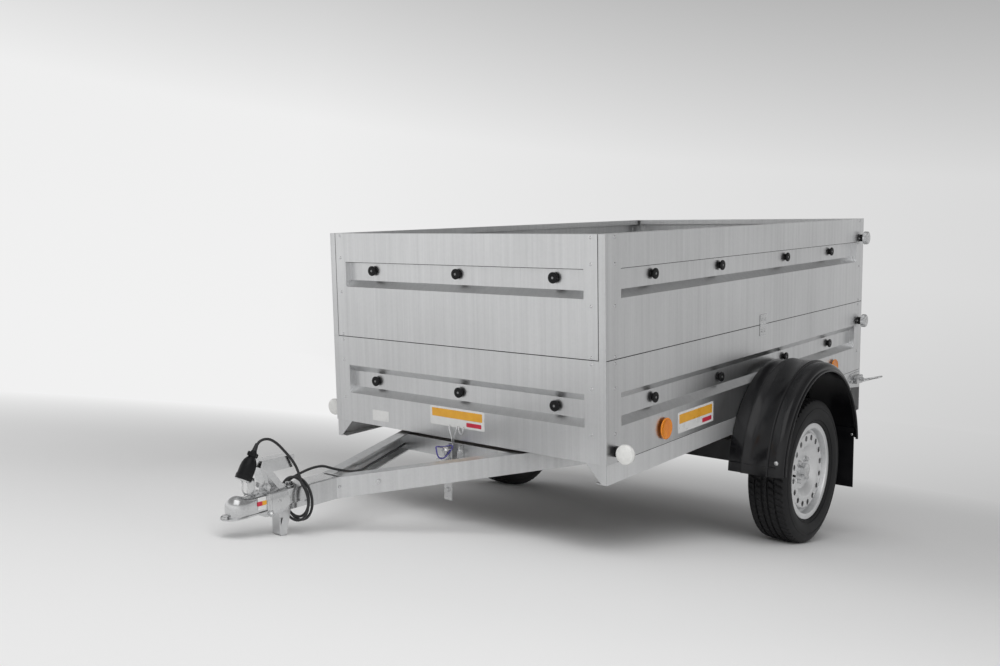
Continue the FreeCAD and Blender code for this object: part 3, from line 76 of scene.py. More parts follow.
def turned(x, y, z):
    """A matrix that lays a drawing's own X, Y and Z along three given directions."""
    return Matrix((x, y, z)).transposed().to_4x4()


def beside(side):
    """Lays a drawing's X forward and its Y up, so that it faces the left (1) or the right (-1)."""
    return turned((1, 0, 0), (0, 0, 1), (0, side, 0))


ACROSS = turned((0, 1, 0), (0, 0, 1), (1, 0, 0))
BED = shift(wheel.x, 0, wheel.z) @ turn_y(PARK) @ Matrix.Scale(0.001, 4) @ shift(-AXLE_X, 0, -AXLE_Z)
BAR = BED @ shift(HINGE_X, 0, HINGE_Z) @ turn_y(-RISE) @ shift(-HINGE_X, 0, -HINGE_Z)

# %% [markdown]
# The camera stands in front and to the left of the trailer, at chest height. Its place, its focal
# length and its small roll were measured from the photograph in the level drawing, and `BED` carries
# them along, so that the parked trailer fills the picture just as the level one does.

# %% Camera
CAMERA_AT = (2410.4, 2171.4, 1290.6)
YAW, PITCH, ROLL = (math.radians(a) for a in (219.358, -7.250, -1.0948))
FOCAL_PIXELS, PICTURE_PIXELS, SENSOR = 994.88, 1000, 36
look = Vector((math.cos(YAW) * math.cos(PITCH), math.sin(YAW) * math.cos(PITCH), math.sin(PITCH)))
side = look.cross(Vector((0, 0, 1))).normalized()
over = side.cross(look)
cam_x = side * math.cos(ROLL) + over * math.sin(ROLL)
cam_y = over * math.cos(ROLL) - side * math.sin(ROLL)
camera_data = bpy.data.cameras.new("camera")
camera_data.lens = FOCAL_PIXELS / PICTURE_PIXELS * SENSOR
camera_data.sensor_width = SENSOR
camera = bpy.data.objects.new("camera", camera_data)
bpy.context.scene.collection.objects.link(camera)
bearing = turned(cam_x, cam_y, -look)
camera.matrix_world = shift(*(BED @ Vector(CAMERA_AT))) @ turn_y(PARK) @ bearing
bpy.context.scene.camera = camera
bpy.context.scene.view_settings.view_transform = "Standard"
print("camera", [round(v, 3) for v in camera.matrix_world.translation])

# %% [markdown]
# Real surfaces are never one flat colour. Each material below starts from a plain shader, and noise
# in the object's own space then varies its colour and roughness and raises a fine grain. A bevel in
# the shader softens the folded edges, because real sheet has a radius there that catches the light.

# %% Material helpers
SHEET_TURN = (0, -PARK, 0)


class Finish:
    def __init__(self, name, colour, roughness, metallic=0.0, **sockets):
        self.material = bpy.data.materials.new(name)
        self.material.use_nodes = True
        self.tree = self.material.node_tree
        self.shader = self.tree.nodes["Principled BSDF"]
        self.shader.inputs["Base Color"].default_value = (*colour, 1)
        self.shader.inputs["Roughness"].default_value = roughness
        self.shader.inputs["Metallic"].default_value = metallic
        for socket, value in sockets.items():
            self.shader.inputs[socket.replace("_", " ")].default_value = value
        self.normal = None

    def add(self, kind, **values):
        node = self.tree.nodes.new("ShaderNode" + kind)
        for key, value in values.items():
            if hasattr(node, key):
                setattr(node, key, value)
            else:
                node.inputs[key.replace("_", " ")].default_value = value
        return node

    def link(self, out, into):
        self.tree.links.new(out, into)

    def place(self, stretch=(1, 1, 1)):
        """The object's own space, turned level, and squeezed along each axis by stretch."""
        coords = self.add("TexCoord")
        level = self.add("Mapping", Rotation=SHEET_TURN)
        squeeze = self.add("Mapping", Scale=stretch)
        self.link(coords.outputs["Object"], level.inputs["Vector"])
        self.link(level.outputs["Vector"], squeeze.inputs["Vector"])
        return squeeze.outputs["Vector"]

    def noise(self, scale, stretch=(1, 1, 1), *, detail):
        node = self.add("TexNoise", Scale=scale, Detail=detail, Roughness=0.55)
        self.link(self.place(stretch), node.inputs["Vector"])
        return node.outputs["Fac"]

    def cells(self, scale):
        """Crystals, each with a random grey."""
        node = self.add("TexVoronoi", Scale=scale, Randomness=1.0)
        self.link(self.place(), node.inputs["Vector"])
        grey = self.add("RGBToBW")
        self.link(node.outputs["Color"], grey.inputs["Color"])
        return grey.outputs["Val"]

    def ramp(self, fac, low, high, start=0.3, end=0.7):
        node = self.add("MapRange", From_Min=start, From_Max=end, To_Min=low, To_Max=high)
        self.link(fac, node.inputs["Value"])
        return node.outputs["Result"]

    def shades(self, fac, dark, light, start=0.3, end=0.7):
        node = self.add("ValToRGB")
        node.color_ramp.elements[0].position = start
        node.color_ramp.elements[0].color = (*dark, 1)
        node.color_ramp.elements[1].position = end
        node.color_ramp.elements[1].color = (*light, 1)
        self.link(fac, node.inputs["Fac"])
        return node.outputs["Color"]

    def mix(self, fac, first, second):
        node = self.add("MixRGB")
        if isinstance(fac, float):
            node.inputs["Fac"].default_value = fac
        else:
            self.link(fac, node.inputs["Fac"])
        for value, name in ((first, "Color1"), (second, "Color2")):
            if isinstance(value, tuple):
                node.inputs[name].default_value = (*value, 1)
            else:
                self.link(value, node.inputs[name])
        return node.outputs["Color"]

    def colour(self, out):
        self.link(out, self.shader.inputs["Base Color"])

    def rough(self, out):
        self.link(out, self.shader.inputs["Roughness"])

    def soften(self, radius):
        node = self.add("Bevel", samples=4, Radius=radius)
        self.normal = node.outputs["Normal"]
        self.link(self.normal, self.shader.inputs["Normal"])

    def bump(self, height, strength, distance):
        node = self.add("Bump", Strength=strength, Distance=distance)
        self.link(height, node.inputs["Height"])
        if self.normal:
            self.link(self.normal, node.inputs["Normal"])
        self.normal = node.outputs["Normal"]
        self.link(self.normal, self.shader.inputs["Normal"])


print("material helpers ready")

# %% [markdown]
# The walls are hot-dip galvanised sheet. Rolling leaves fine upright streaks in it, the zinc freezes
# in faint crystals, and large soft blotches show where the bath ran off. All three only nudge the
# grey and the roughness: too much contrast would look like dirt. The chassis has the same zinc in a
# coarser, duller coat. The side sills get a lighter, rougher copy of it: the lighter grey is painted
# light, for the bright floor that they mirror.

# %% Galvanised sheet
UPRIGHT = (1, 1, 0.02)
BLOTCH, BAND, STREAK = 2.2, 55.0, 320.0


def galvanised(name, dark, light, roughness, streaks, crystals, crystal_scale):
    f = Finish(name, light, roughness, 1.0)
    blotch = f.mix(0.5, f.noise(BLOTCH, detail=2.0), f.noise(BAND, UPRIGHT, detail=2.0))
    streak = f.noise(STREAK, UPRIGHT, detail=3.0)
    crystal = f.cells(crystal_scale)
    tone = f.mix(crystals, f.mix(streaks, blotch, streak), crystal)
    f.colour(f.shades(tone, dark, light, 0.25, 0.75))
    f.rough(f.ramp(tone, roughness + 0.04, roughness - 0.04, 0.3, 0.7))
    f.soften(0.0016)
    f.bump(streak, 0.05, 0.0003)
    return f.material


ZINC = galvanised("zinc_sheet", (0.60, 0.605, 0.61), (0.80, 0.805, 0.81), 0.32, 0.23, 0.05, 110.0)
FRAME_ZINC = galvanised("zinc_frame", (0.57, 0.575, 0.58), (0.77, 0.775, 0.78), 0.37, 0.10, 0.07, 150.0)
# The sills' lighter grey is painted light: it stands for the bright floor that they mirror.
SILL_PAINTED_LIGHT_ZINC = galvanised("zinc_sill_painted_light", (0.74, 0.745, 0.75), (0.90, 0.905, 0.91), 0.58, 0.10, 0.05, 150.0)
print("zinc", ZINC.name, FRAME_ZINC.name, SILL_PAINTED_LIGHT_ZINC.name)

# %% [markdown]
# Bolts, latches and the coupling are bright zinc plated, and the wheels are sprayed silver. Both are
# the same idea: a metal whose grey clouds a little, with fine scuffs that change its roughness. The
# small screws in the black knobs are a duller plating of the same kind.

# %% Bright zinc and wheel silver
CLOUD, SCUFF = 22.0, 300.0


def plated(name, dark, light, roughness):
    f = Finish(name, light, roughness, 1.0)
    cloud = f.noise(CLOUD, detail=2.0)
    scuff = f.noise(SCUFF, (1, 0.2, 1), detail=3.0)
    f.colour(f.shades(f.mix(0.4, cloud, scuff), dark, light, 0.35, 0.65))
    f.rough(f.ramp(scuff, roughness + 0.10, roughness - 0.06))
    f.soften(0.0008)
    f.bump(scuff, 0.03, 0.0002)
    return f.material


BRIGHT = plated("bright_zinc", (0.60, 0.605, 0.61), (0.72, 0.725, 0.73), 0.20)
DULL = plated("screw_zinc", (0.26, 0.262, 0.265), (0.36, 0.362, 0.365), 0.42)
WHEEL = plated("wheel_silver", (0.78, 0.785, 0.79), (0.88, 0.885, 0.89), 0.36)
print("plated", BRIGHT.name, DULL.name, WHEEL.name)

# %% [markdown]
# Rubber, moulded plastic, paint, film-faced board, stickers and the lamps' lenses are not metals to
# the eye. A fine grit raises their grain, and a cloud of slightly lighter patches keeps the black
# ones from looking like holes.

# %% Moulded plastic, rubber, board and lenses
PATCH = 18.0


def moulded(name, dark, light, roughness, grain_scale, grain, **sockets):
    f = Finish(name, light, roughness, **sockets)
    cloud = f.noise(PATCH, detail=4.0)
    grit = f.noise(grain_scale, detail=3.0)
    f.colour(f.shades(f.mix(0.4, cloud, grit), dark, light, 0.35, 0.65))
    f.rough(f.ramp(cloud, roughness - 0.05, roughness + 0.06))
    f.soften(0.0010)
    f.bump(grit, grain, 0.0005)
    return f.material


BLACK_METAL = moulded("black_metal", (0.012, 0.012, 0.013), (0.030, 0.030, 0.032), 0.40, 500.0, 0.10)
COAL, SOOT = (0.004, 0.004, 0.005), (0.009, 0.009, 0.010)
BLACK = moulded("black_plastic", COAL, SOOT, 0.38, 700.0, 0.12, Specular_IOR_Level=0.22)
GUARD = moulded("guard_plastic", COAL, SOOT, 0.20, 520.0, 0.03, Specular_IOR_Level=0.40)
RUBBER = moulded(
    "tyre_rubber", (0.006, 0.006, 0.007), (0.015, 0.015, 0.016), 0.62, 420.0, 0.20,
    Specular_IOR_Level=0.35,
)
CABLE = moulded("cable", (0.010, 0.010, 0.011), (0.020, 0.020, 0.022), 0.40, 300.0, 0.06)
BOARD = moulded("floor_board", (0.030, 0.020, 0.014), (0.075, 0.052, 0.036), 0.55, 160.0, 0.25)
WHITE_LENS = moulded("white_lens", (0.74, 0.74, 0.72), (0.88, 0.88, 0.86), 0.22, 90.0, 0.05)
AMBER_LENS = moulded("amber_lens", (0.75, 0.20, 0.01), (0.95, 0.33, 0.02), 0.25, 220.0, 0.08)
RED_LENS = moulded("red_lens", (0.35, 0.01, 0.01), (0.60, 0.02, 0.02), 0.25, 220.0, 0.08)
STICKER_WHITE = moulded("sticker_white", (0.74, 0.74, 0.73), (0.82, 0.82, 0.81), 0.30, 60.0, 0.02)
STICKER_AMBER = moulded("sticker_amber", (0.80, 0.38, 0.03), (0.88, 0.45, 0.04), 0.30, 60.0, 0.02)
STICKER_RED = moulded("sticker_red", (0.55, 0.02, 0.05), (0.64, 0.03, 0.07), 0.30, 60.0, 0.02)
VIOLET = moulded("violet_coating", (0.045, 0.04, 0.20), (0.075, 0.06, 0.30), 0.32, 200.0, 0.05)
print("moulded finishes ready")

# %% [markdown]
# The frame already has every main solid: walls, posts, gates, chassis, wheels and drawbar. Each
# takes one of these finishes, by the slot that the record gives it, so that nothing stays bare. Only
# the two side sills leave their slot's finish for the lighter zinc, whose paler grey is painted light
# from the bright floor that they mirror.

# %% Dress the frame
SLOT_FINISH = {
    "zinc_sheet": ZINC, "zinc_frame": FRAME_ZINC, "bright_zinc": BRIGHT, "black_metal": BLACK_METAL,
    "wheel_silver": WHEEL, "plywood": BOARD, "tyre": RUBBER, "black_plastic": BLACK,
    "white_lens": WHITE_LENS, "amber_lens": AMBER_LENS, "red_lens": RED_LENS, "cable": CABLE,
}
SLOT_OF = {part["node"]: part["material_slot"] for part in frame["record"]["subparts"]}
for name, node in NODES.items():
    node.data.materials.clear()
    # The sills take the lighter zinc, with the floor's light painted into its grey.
    finish = SILL_PAINTED_LIGHT_ZINC if name in ("sill_left", "sill_right") else SLOT_FINISH[SLOT_OF[name]]
    node.data.materials.append(finish)
print("dressed", len(NODES), "nodes in", len(set(SLOT_OF.values())), "slots")

# %% [markdown]
# New pieces are drawn in level millimetres as bmesh forms, carried into the frame by one of the two
# matrices, and then ride on their body. Their objects stay at the origin, like the frame's own.

# %% Piece helpers
def link_piece(name, data, body, finish):
    obj = bpy.data.objects.new(name, data)
    bpy.context.scene.collection.objects.link(obj)
    data.materials.append(finish)
    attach(obj, body)
    return obj


def piece(name, form, body, finish, place=None, sharp=35, stands_for=()):
    bmesh.ops.recalc_face_normals(form, faces=form.faces)
    mesh = bpy.data.meshes.new(name)
    form.to_mesh(mesh)
    form.free()
    mesh.transform(BED if place is None else place)
    mesh.shade_smooth()
    mesh.set_sharp_from_angle(angle=math.radians(sharp))
    obj = link_piece(name, mesh, body, finish)
    if stands_for:
        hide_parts(*stands_for)
    print(name, "faces", len(mesh.polygons))


def facing(point, direction, up=(0, 0, 1)):
    """A matrix that puts a form drawn along its own Z at point, with that Z along direction."""
    z = Vector(direction).normalized()
    x = Vector(up).cross(z)
    if x.length < 0.001:
        x = Vector((1, 0, 0)).cross(z)
    x.normalize()
    y = z.cross(x)
    return shift(*point) @ turned(x, y, z)


def round_point(form, at, radius, angle, height):
    return form.verts.new(at @ Vector((math.cos(angle) * radius, math.sin(angle) * radius, height)))


def join(form, low, high):
    """Faces between two closed rings with the same number of points."""
    made = []
    for i in range(len(low)):
        j = (i + 1) % len(low)
        made.append(form.faces.new((low[i], low[j], high[j], high[i])))
    return made


def loft(form, rings):
    """A skin through rings with the same number of points, with a flat face on each end."""
    for low, high in zip(rings, rings[1:]):
        join(form, low, high)
    form.faces.new(rings[0])
    form.faces.new(rings[-1])


def lathe(form, profile, steps, at, caps=True):
    """Turns a profile of (height, radius) points about the matrix's own Z."""
    rings = []
    for height, radius in profile:
        if radius == 0:
            rings.append([form.verts.new(at @ Vector((0, 0, height)))])
            continue
        rings.append([
            round_point(form, at, radius, 2 * math.pi * i / steps, height) for i in range(steps)
        ])
    for low, high in zip(rings, rings[1:]):
        for i in range(steps):
            corners = [low[i % len(low)], low[(i + 1) % len(low)]]
            corners += [high[(i + 1) % len(high)], high[i % len(high)]]
            form.faces.new(list(dict.fromkeys(corners)))
    for ring in (rings[0], rings[-1]):
        if caps and len(ring) > 2:
            form.faces.new(ring)


def fluted(form, profile, flutes, power, at):
    """A turned form with flutes cut in its edge; each profile point has its own depth of cut."""
    steps = flutes * 4
    rings = []
    for height, radius, cut in profile:
        ring = []
        for i in range(steps):
            angle = 2 * math.pi * i / steps
            depth = cut * (0.5 + 0.5 * math.cos(angle * flutes)) ** power
            ring.append(round_point(form, at, radius - depth, angle, height))
        rings.append(ring)
    loft(form, rings)


def slab(form, outline, start, end, at, bevel=0.0):
    """A prism: an outline in the matrix's own X and Y, from start to end along its Z."""
    low = [form.verts.new(at @ Vector((x, y, start))) for x, y in outline]
    high = [form.verts.new(at @ Vector((x, y, end))) for x, y in outline]
    made = [form.faces.new(low), form.faces.new(high), *join(form, low, high)]
    if bevel:
        edges = list({edge for face in made for edge in face.edges})
        bmesh.ops.bevel(form, geom=edges, offset=bevel, segments=2, affect="EDGES")


def box_of(x0, x1, y0, y1):
    return [(x0, y0), (x1, y0), (x1, y1), (x0, y1)]


def wire(name, points, radius, body, finish, place, sides=3):
    """A round wire on a smooth spline through given points."""
    curve = bpy.data.curves.new(name, "CURVE")
    curve.dimensions = "3D"
    curve.bevel_depth = radius / 1000
    curve.bevel_resolution = sides
    curve.use_fill_caps = True
    spline = curve.splines.new("NURBS")
    spline.points.add(len(points) - 1)
    for target, point in zip(spline.points, points):
        target.co = (*(place @ Vector(point)), 1)
    spline.order_u = 3
    spline.use_endpoint_u = True
    spline.resolution_u = 8
    obj = link_piece(name, curve, body, finish)
    print(name, "points", len(points))
    return obj


def hexagon(across):
    reach = across / math.sqrt(3)
    return [
        (reach * math.cos(math.radians(60 * i + 30)), reach * math.sin(math.radians(60 * i + 30)))
        for i in range(6)
    ]


def bolt(form, at, across, height, washer=0.0):
    """A hexagon head with a rounded top, on a thin washer where one is asked for."""
    base = 0.0
    if washer:
        lathe(form, [(-0.5, washer), (1.4, washer), (1.8, washer - 0.5), (1.8, 0)], 28, at)
        base = 1.6
    slab(form, hexagon(across), base - 0.5, base + height, at, across * 0.05)
    top = base + height
    lathe(form, [(top - 1, across * 0.36), (top + 0.5, across * 0.34), (top + 1, 0)], 20, at)


def rounded(width, height, corner):
    """A rectangle about the middle, with rounded corners of four steps each."""
    outline = []
    steps = 4
    for cx, cy, start in (
        (width / 2, height / 2, 0), (-width / 2, height / 2, 90),
        (-width / 2, -height / 2, 180), (width / 2, -height / 2, 270),
    ):
        for i in range(steps + 1):
            angle = math.radians(start + 90 * i / steps)
            x = cx - math.copysign(corner, cx) + math.cos(angle) * corner
            y = cy - math.copysign(corner, cy) + math.sin(angle) * corner
            outline.append((x, y))
    return outline


print("piece helpers ready")

# %% [markdown]
# Rivets, screws and labels must sit exactly on the sheet under them. A ray cast onto the frame's own
# meshes finds that sheet, so that nothing floats or sinks, whichever fold is outermost there. The
# rays start well clear of the box: ahead of it, behind it or aside of it.

# %% Seats on the frame
from mathutils.bvhtree import BVHTree


def tree_of(names):
    corners, faces = [], []
    for name in names:
        mesh = NODES[name].data
        first = len(corners)
        corners += [v.co.copy() for v in mesh.vertices]
        faces += [[first + i for i in face.vertices] for face in mesh.polygons]
    return BVHTree.FromPolygons(corners, faces)


LOOSE = ("cover_knobs", "tailgate_upper_knobs", "tailgate_lower_knobs", "latch_knobs")
SHELL = tree_of([n for n in NODES if n not in LOOSE and "lead" not in n])
AHEAD, BEHIND, ASIDE = 200, -2300, 700


def seat(start, direction, place=None):
    """Where a ray from a level point first meets the frame, in level millimetres."""
    place = BED if place is None else place
    aim = (place.to_3x3() @ Vector(direction)).normalized()
    hit = SHELL.ray_cast(place @ Vector(start), aim)[0]
    return place.inverted() @ hit if hit else Vector(start)


def on_frame(start, out):
    """A matrix for a form that stands on the sheet under start and faces out from it."""
    return facing(seat(start, [-c for c in out]), out)


print("front sheet at", [round(v, 1) for v in seat((AHEAD, 200, 900), (-1, 0, 0))])

# %% [markdown]
# On the real sheets the recesses end upright, where the frame has a simpler slope, and a thin dark
# seam shows where one tier stands on the other. The frame's own sheets are taken over point by
# point, and only the ends of their recesses are pulled upright. The upper sheets also give up a
# little of their lower edge for the seam. Dark strips of painted shade then lie behind the seams,
# and thinner painted shadow lines lie on the folds that show as fine lines: over the upper recesses,
# under the side walls, by the joiners.

# %% Dressed sheets
RECESS, SHEET, SNAP = 23.0, 2.0, 0.35
# The last of these is the width of the painted shadow lines.
SEAM, GAP, SHADE_LINE_WIDTH = 834.0, 2.4, 1.6
SIDE_FACE, REAR_FACE, WALL_TOP, WALL_LOW = 591.5, 2109.0, 1205.5, 523.8
PANEL_EDGE, PANEL_SHORT = 566.2, 564.1
# STRIP and SUNK place the strips of painted shade: proud of the sheet, or sunk in a gap.
STRIP, SUNK = 0.3, (-1.8, -0.9)
# Each wall's axis along it, the axis out of it, that axis's sign, and its outer face.
SHEETS = (
    ("front_wall", 1, 0, 1, 0.0),
    ("left_wall", 0, 1, 1, SIDE_FACE),
    ("right_wall", 0, 1, -1, SIDE_FACE),
    ("tailgate", 1, 0, -1, REAR_FACE),
)


def copied(name):
    """A frame mesh as a form in level millimetres, with its split corners joined."""
    form = bmesh.new()
    level = BED.inverted()
    corners = [form.verts.new(level @ corner.co) for corner in NODES[name].data.vertices]
    for face in NODES[name].data.polygons:
        form.faces.new([corners[i] for i in face.vertices])
    bmesh.ops.remove_doubles(form, verts=form.verts, dist=0.01)
    return form


def stand_upright(form, along, out, sign, face):
    """Pulls the sloped ends of the recess upright, on both faces of the sheet."""
    floor_at = [v.co.copy() for v in form.verts if abs(face - v.co[out] * sign - RECESS) < SNAP]
    ends = min(co[along] for co in floor_at) - RECESS, max(co[along] for co in floor_at) + RECESS
    for end, inward in zip(ends, (1, -1)):
        for corner in form.verts:
            depth = face - corner.co[out] * sign
            run = (corner.co[along] - end) * inward
            if depth > SNAP and abs(run - depth) < SNAP:
                corner.co[along] = end
            elif depth > SHEET - SNAP and abs(run - depth + SHEET) < SNAP:
                corner.co[along] = end - SHEET * inward
    return ends, max(co.z for co in floor_at)


# These dark strips are painted shade: in the seams' gaps, and as painted shadow lines on the folds.
seam_shade = bmesh.new()
for wall, along, out, sign, face in SHEETS:
    for tier in ("lower", "upper"):
        node = f"{wall}_{tier}"
        form = copied(node)
        ends, top = stand_upright(form, along, out, sign, face)
        if tier == "upper" and wall != "tailgate":
            for corner in form.verts:
                if corner.co.z < SEAM + SNAP:
                    corner.co.z += GAP
                if wall == "front_wall" and abs(corner.co.y) > PANEL_EDGE:
                    corner.co.y = math.copysign(PANEL_SHORT, corner.co.y)
            at = ACROSS if wall == "front_wall" else beside(sign)
            # A painted shadow line just under the upper recess's top edge.
            line = box_of(*ends, top + 0.2, top + 0.2 + SHADE_LINE_WIDTH)
            slab(seam_shade, line, face - STRIP, face + STRIP, at)
        body = node if wall == "tailgate" else "bed"
        piece(f"{node}_sheet", form, body, ZINC, stands_for=(node,))
        print("recess from", round(ends[0]), "to", round(ends[1]), "top", round(top, 1))

joiner_edge = max((BED.inverted() @ v.co).x for v in NODES["tier_joiners"].data.vertices)
# Painted shade sunk behind the front seam's gap.
slab(seam_shade, box_of(-566, 566, SEAM, SEAM + GAP), *SUNK, ACROSS)
proud = (SIDE_FACE - STRIP, SIDE_FACE + STRIP)
for side in (1, -1):
    # Painted shade sunk behind the gaps beside the front panel.
    slab(seam_shade, box_of(564.0 * side, 566.6 * side, SEAM + GAP, WALL_TOP), *SUNK, ACROSS)
    at = beside(side)
    sunk = [SIDE_FACE + depth for depth in SUNK]
    # Painted shade sunk behind the side seam's gap.
    slab(seam_shade, box_of(-2105, -4, SEAM, SEAM + GAP), *sunk, at)
    # Painted shadow lines under the side wall and along the joiner's front edge.
    slab(seam_shade, box_of(-2100, -60, WALL_LOW - 1.4, WALL_LOW), *proud, at)
    slab(seam_shade, box_of(joiner_edge, joiner_edge + SHADE_LINE_WIDTH, 795, 873), *proud, at)
# All these dark strips are painted shade and painted shadow lines.
piece("seam_shadows", seam_shade, "bed", BLACK)

# %% [markdown]
# The tyres are ordinary road tyres. The sidewall is one profile turned about the axle, and the tread
# is the same ring pushed in where a groove runs: four grooves go round, and slanted slots cross the
# ribs at a fixed pitch. Pushing points of a fine ring gives real blocks without any modelling by hand.

# %% Tyres
WHEEL_Y = 684
TYRE_R, TREAD_HALF, CROWN_DROP, CROWN_CURVE, SLANT = 274, 64, 5.0, 2.4, 0.16
SIDEWALL = [
    (165.4, 56.4), (183.4, 56.8), (186, 62.5), (190, 66.5), (192.5, 68.2), (193.3, 66.7),
    (196.2, 67.7), (197, 70.8), (205, 73.4), (217, 76.2), (229, 77.1), (235.4, 75.6), (236.4, 77.1),
    (240.2, 76.7), (241.2, 74.8), (253, 72.6), (260, 69.0), (265.5, 66.0),
]
INNER_GROOVE, OUTER_GROOVE = (8.2, 14), (34.1, 40.4)
GROOVE_CUT, SHOULDER_CUT, RIB_CUT, MIDDLE_CUT = 7.0, 5.5, 6.0, 5.0
TREAD = [TREAD_HALF, 58.5, 52, 46, 41, 40.4, 34.1, 33.5, 27, 20.5, 14.6, 14, 8.2, 7.6, 2.5]
PITCHES, STEPS = 64, 8


def groove(across, step):
    """How deep the tread is cut at this distance from its middle and this step round."""
    away = abs(across)
    if any(inner <= away <= outer for inner, outer in (INNER_GROOVE, OUTER_GROOVE)):
        return GROOVE_CUT
    slant = int(step + across * SLANT) % STEPS
    if away > OUTER_GROOVE[1]:
        return SHOULDER_CUT if slant < 2 else 0.0
    if away > INNER_GROOVE[1]:
        return RIB_CUT if slant < 2 else 0.0
    return MIDDLE_CUT if slant in (4, 5) and away > 3 else 0.0


def tyre(side):
    form = bmesh.new()
    half = [(r, y, False) for r, y in SIDEWALL] + [(0, y, True) for y in TREAD]
    section = half + [(r, -y, tread) for r, y, tread in reversed(half)]
    rings = []
    for step in range(PITCHES * STEPS):
        angle = 2 * math.pi * step / (PITCHES * STEPS)
        ring = []
        for radius, across, tread in section:
            if tread:
                crown = CROWN_DROP * (abs(across) / TREAD_HALF) ** CROWN_CURVE
                radius = TYRE_R - crown - groove(across, step)
            x = AXLE_X + math.cos(angle) * radius
            z = AXLE_Z + math.sin(angle) * radius
            ring.append(form.verts.new((x, (WHEEL_Y + across) * side, z)))
        rings.append(ring)
    for ring, following in zip(rings, rings[1:] + rings[:1]):
        join(form, ring, following)
    return form


for name, side in (("left", 1), ("right", -1)):
    piece(
        f"tyre_tread_{name}", tyre(side), f"wheel_{name}", RUBBER, sharp=40,
        stands_for=(f"tyre_{name}",),
    )

# %% [markdown]
# Black moulded knobs pin the tarpaulin's cord. Each is one turned form: a foot on the recess floor,
# a waist for the cord and a rounded head with a shallow dimple and a screw in it.

# %% Cover knobs
KNOB = [
    (0, 12), (2.8, 12), (3.5, 11), (3.9, 8.0), (6.6, 7.6), (7.2, 16.0), (8.2, 17.3), (11.6, 17.5),
    (13.2, 16.4), (13.9, 13.8), (14.0, 7.8), (12.8, 6.8), (12.8, 0),
]
SCREW = [(12.4, 4.2), (13.2, 4.0), (13.8, 2.6), (13.9, 0)]
FRONT_KNOBS = (-394, 0, 394)
SIDE_KNOBS = (-304, -759, -1312, -1767)
LEVELS = (1073.6, 680.0)
STANDS = {
    "bed": "cover_knobs", "tailgate_upper": "tailgate_upper_knobs",
    "tailgate_lower": "tailgate_lower_knobs",
}
knob_seats = {body: [] for body in STANDS}
for level in LEVELS:
    gate = "tailgate_upper" if level > SEAM else "tailgate_lower"
    for y in FRONT_KNOBS:
        knob_seats["bed"].append(on_frame((AHEAD, y, level), (1, 0, 0)))
        knob_seats[gate].append(on_frame((BEHIND, y, level), (-1, 0, 0)))
    for x in SIDE_KNOBS:
        for side in (1, -1):
            knob_seats["bed"].append(on_frame((x, ASIDE * side, level), (0, side, 0)))
for body, node in STANDS.items():
    form, screws = bmesh.new(), bmesh.new()
    for at in knob_seats[body]:
        lathe(form, KNOB, 32, at)
        lathe(screws, SCREW, 16, at)
    piece(f"mushroom_knobs_{body}", form, body, BLACK, stands_for=(node,))
    piece(f"knob_screws_{body}", screws, body, DULL)

# %% [markdown]
# The folded corner strips are held by blind rivets, and the side walls by more of them. A rivet is a
# small turned dome with a pierced middle, set on the sheet that the ray finds.

# %% Rivets
RIVET = [(-0.4, 5.2), (0.5, 5.2), (1.4, 4.3), (2.0, 2.6), (2.1, 1.6), (1.3, 1.3), (1.3, 0)]
HEIGHTS = (1196, 1118, 995, 843, 823, 749, 611)
FRONT_RIVET_Y, SIDE_RIVET_X = 541, (-50, -2062)


def rivets(name, spots):
    form = bmesh.new()
    for start, out in spots:
        lathe(form, RIVET, 14, on_frame(start, out))
    piece(name, form, "bed", BRIGHT)


def on_sides(x, z):
    return [((x, ASIDE * side, z), (0, side, 0)) for side in (1, -1)]


spots = []
for z in HEIGHTS:
    spots += [((AHEAD, FRONT_RIVET_Y * side, z), (1, 0, 0)) for side in (-1, 1)]
    for x in SIDE_RIVET_X:
        spots += on_sides(x, z)
rivets("corner_rivets", spots)
spots = []
for z in (854, 812):
    for x in (-1052, -1078):
        spots += on_sides(x, z)
rivets("joiner_rivets", spots)

# %% [markdown]
# The lamps, the reflectors and the big latch knobs are turned forms too. A lamp has a white cup and
# a domed lens, a reflector a thin rim round a nearly flat field, and a latch knob a fluted edge that
# fingers can grip.

# %% Lamps and reflectors
MARKER_AT = (-40, 637.5, 558)
MARKER_CUP = [(0, 27), (1, 29), (9, 30.6), (9.8, 30.6), (10, 29), (10, 0)]
MARKER_LENS = [(9, 0), (9, 29.8), (13, 30.2), (16.5, 28.5), (18.6, 24), (19.6, 15), (20, 0)]
REFLECTOR = [(0, 35), (2.6, 35), (3.8, 34), (4.2, 32.4), (3.6, 31.2), (3.8, 15), (4.0, 0)]
LATCH_KNOB = (
    (0, 26, 0), (1.5, 28.8, 1.6), (10, 28.9, 2.2), (16.5, 28.2, 2.0), (18.6, 25.5, 0.8),
    (19.8, 20, 0), (18.9, 14, 0), (18.6, 9, 0), (19.6, 8, 0), (19.8, 4, 0),
)
REFLECTOR_X, REFLECTOR_Z = (-337, -1778), 575
LATCH_X, LATCH_OUT, LATCH_LEVELS, FLUTES = -2079, 15, (748, 1120), 24
cups, lens = bmesh.new(), bmesh.new()
reflectors, latches = bmesh.new(), bmesh.new()
for side in (1, -1):
    at = facing((MARKER_AT[0], MARKER_AT[1] * side, MARKER_AT[2]), (1, 0, 0))
    lathe(cups, MARKER_CUP, 48, at)
    lathe(lens, MARKER_LENS, 48, at)
for x in REFLECTOR_X:
    for start, out in on_sides(x, REFLECTOR_Z):
        lathe(reflectors, REFLECTOR, 48, on_frame(start, out))
for z in LATCH_LEVELS:
    for side in (1, -1):
        at = facing((LATCH_X, (SIDE_FACE + LATCH_OUT) * side, z), (0, side, 0))
        fluted(latches, LATCH_KNOB, FLUTES, 2, at)
piece("marker_cups", cups, "bed", WHITE_LENS)
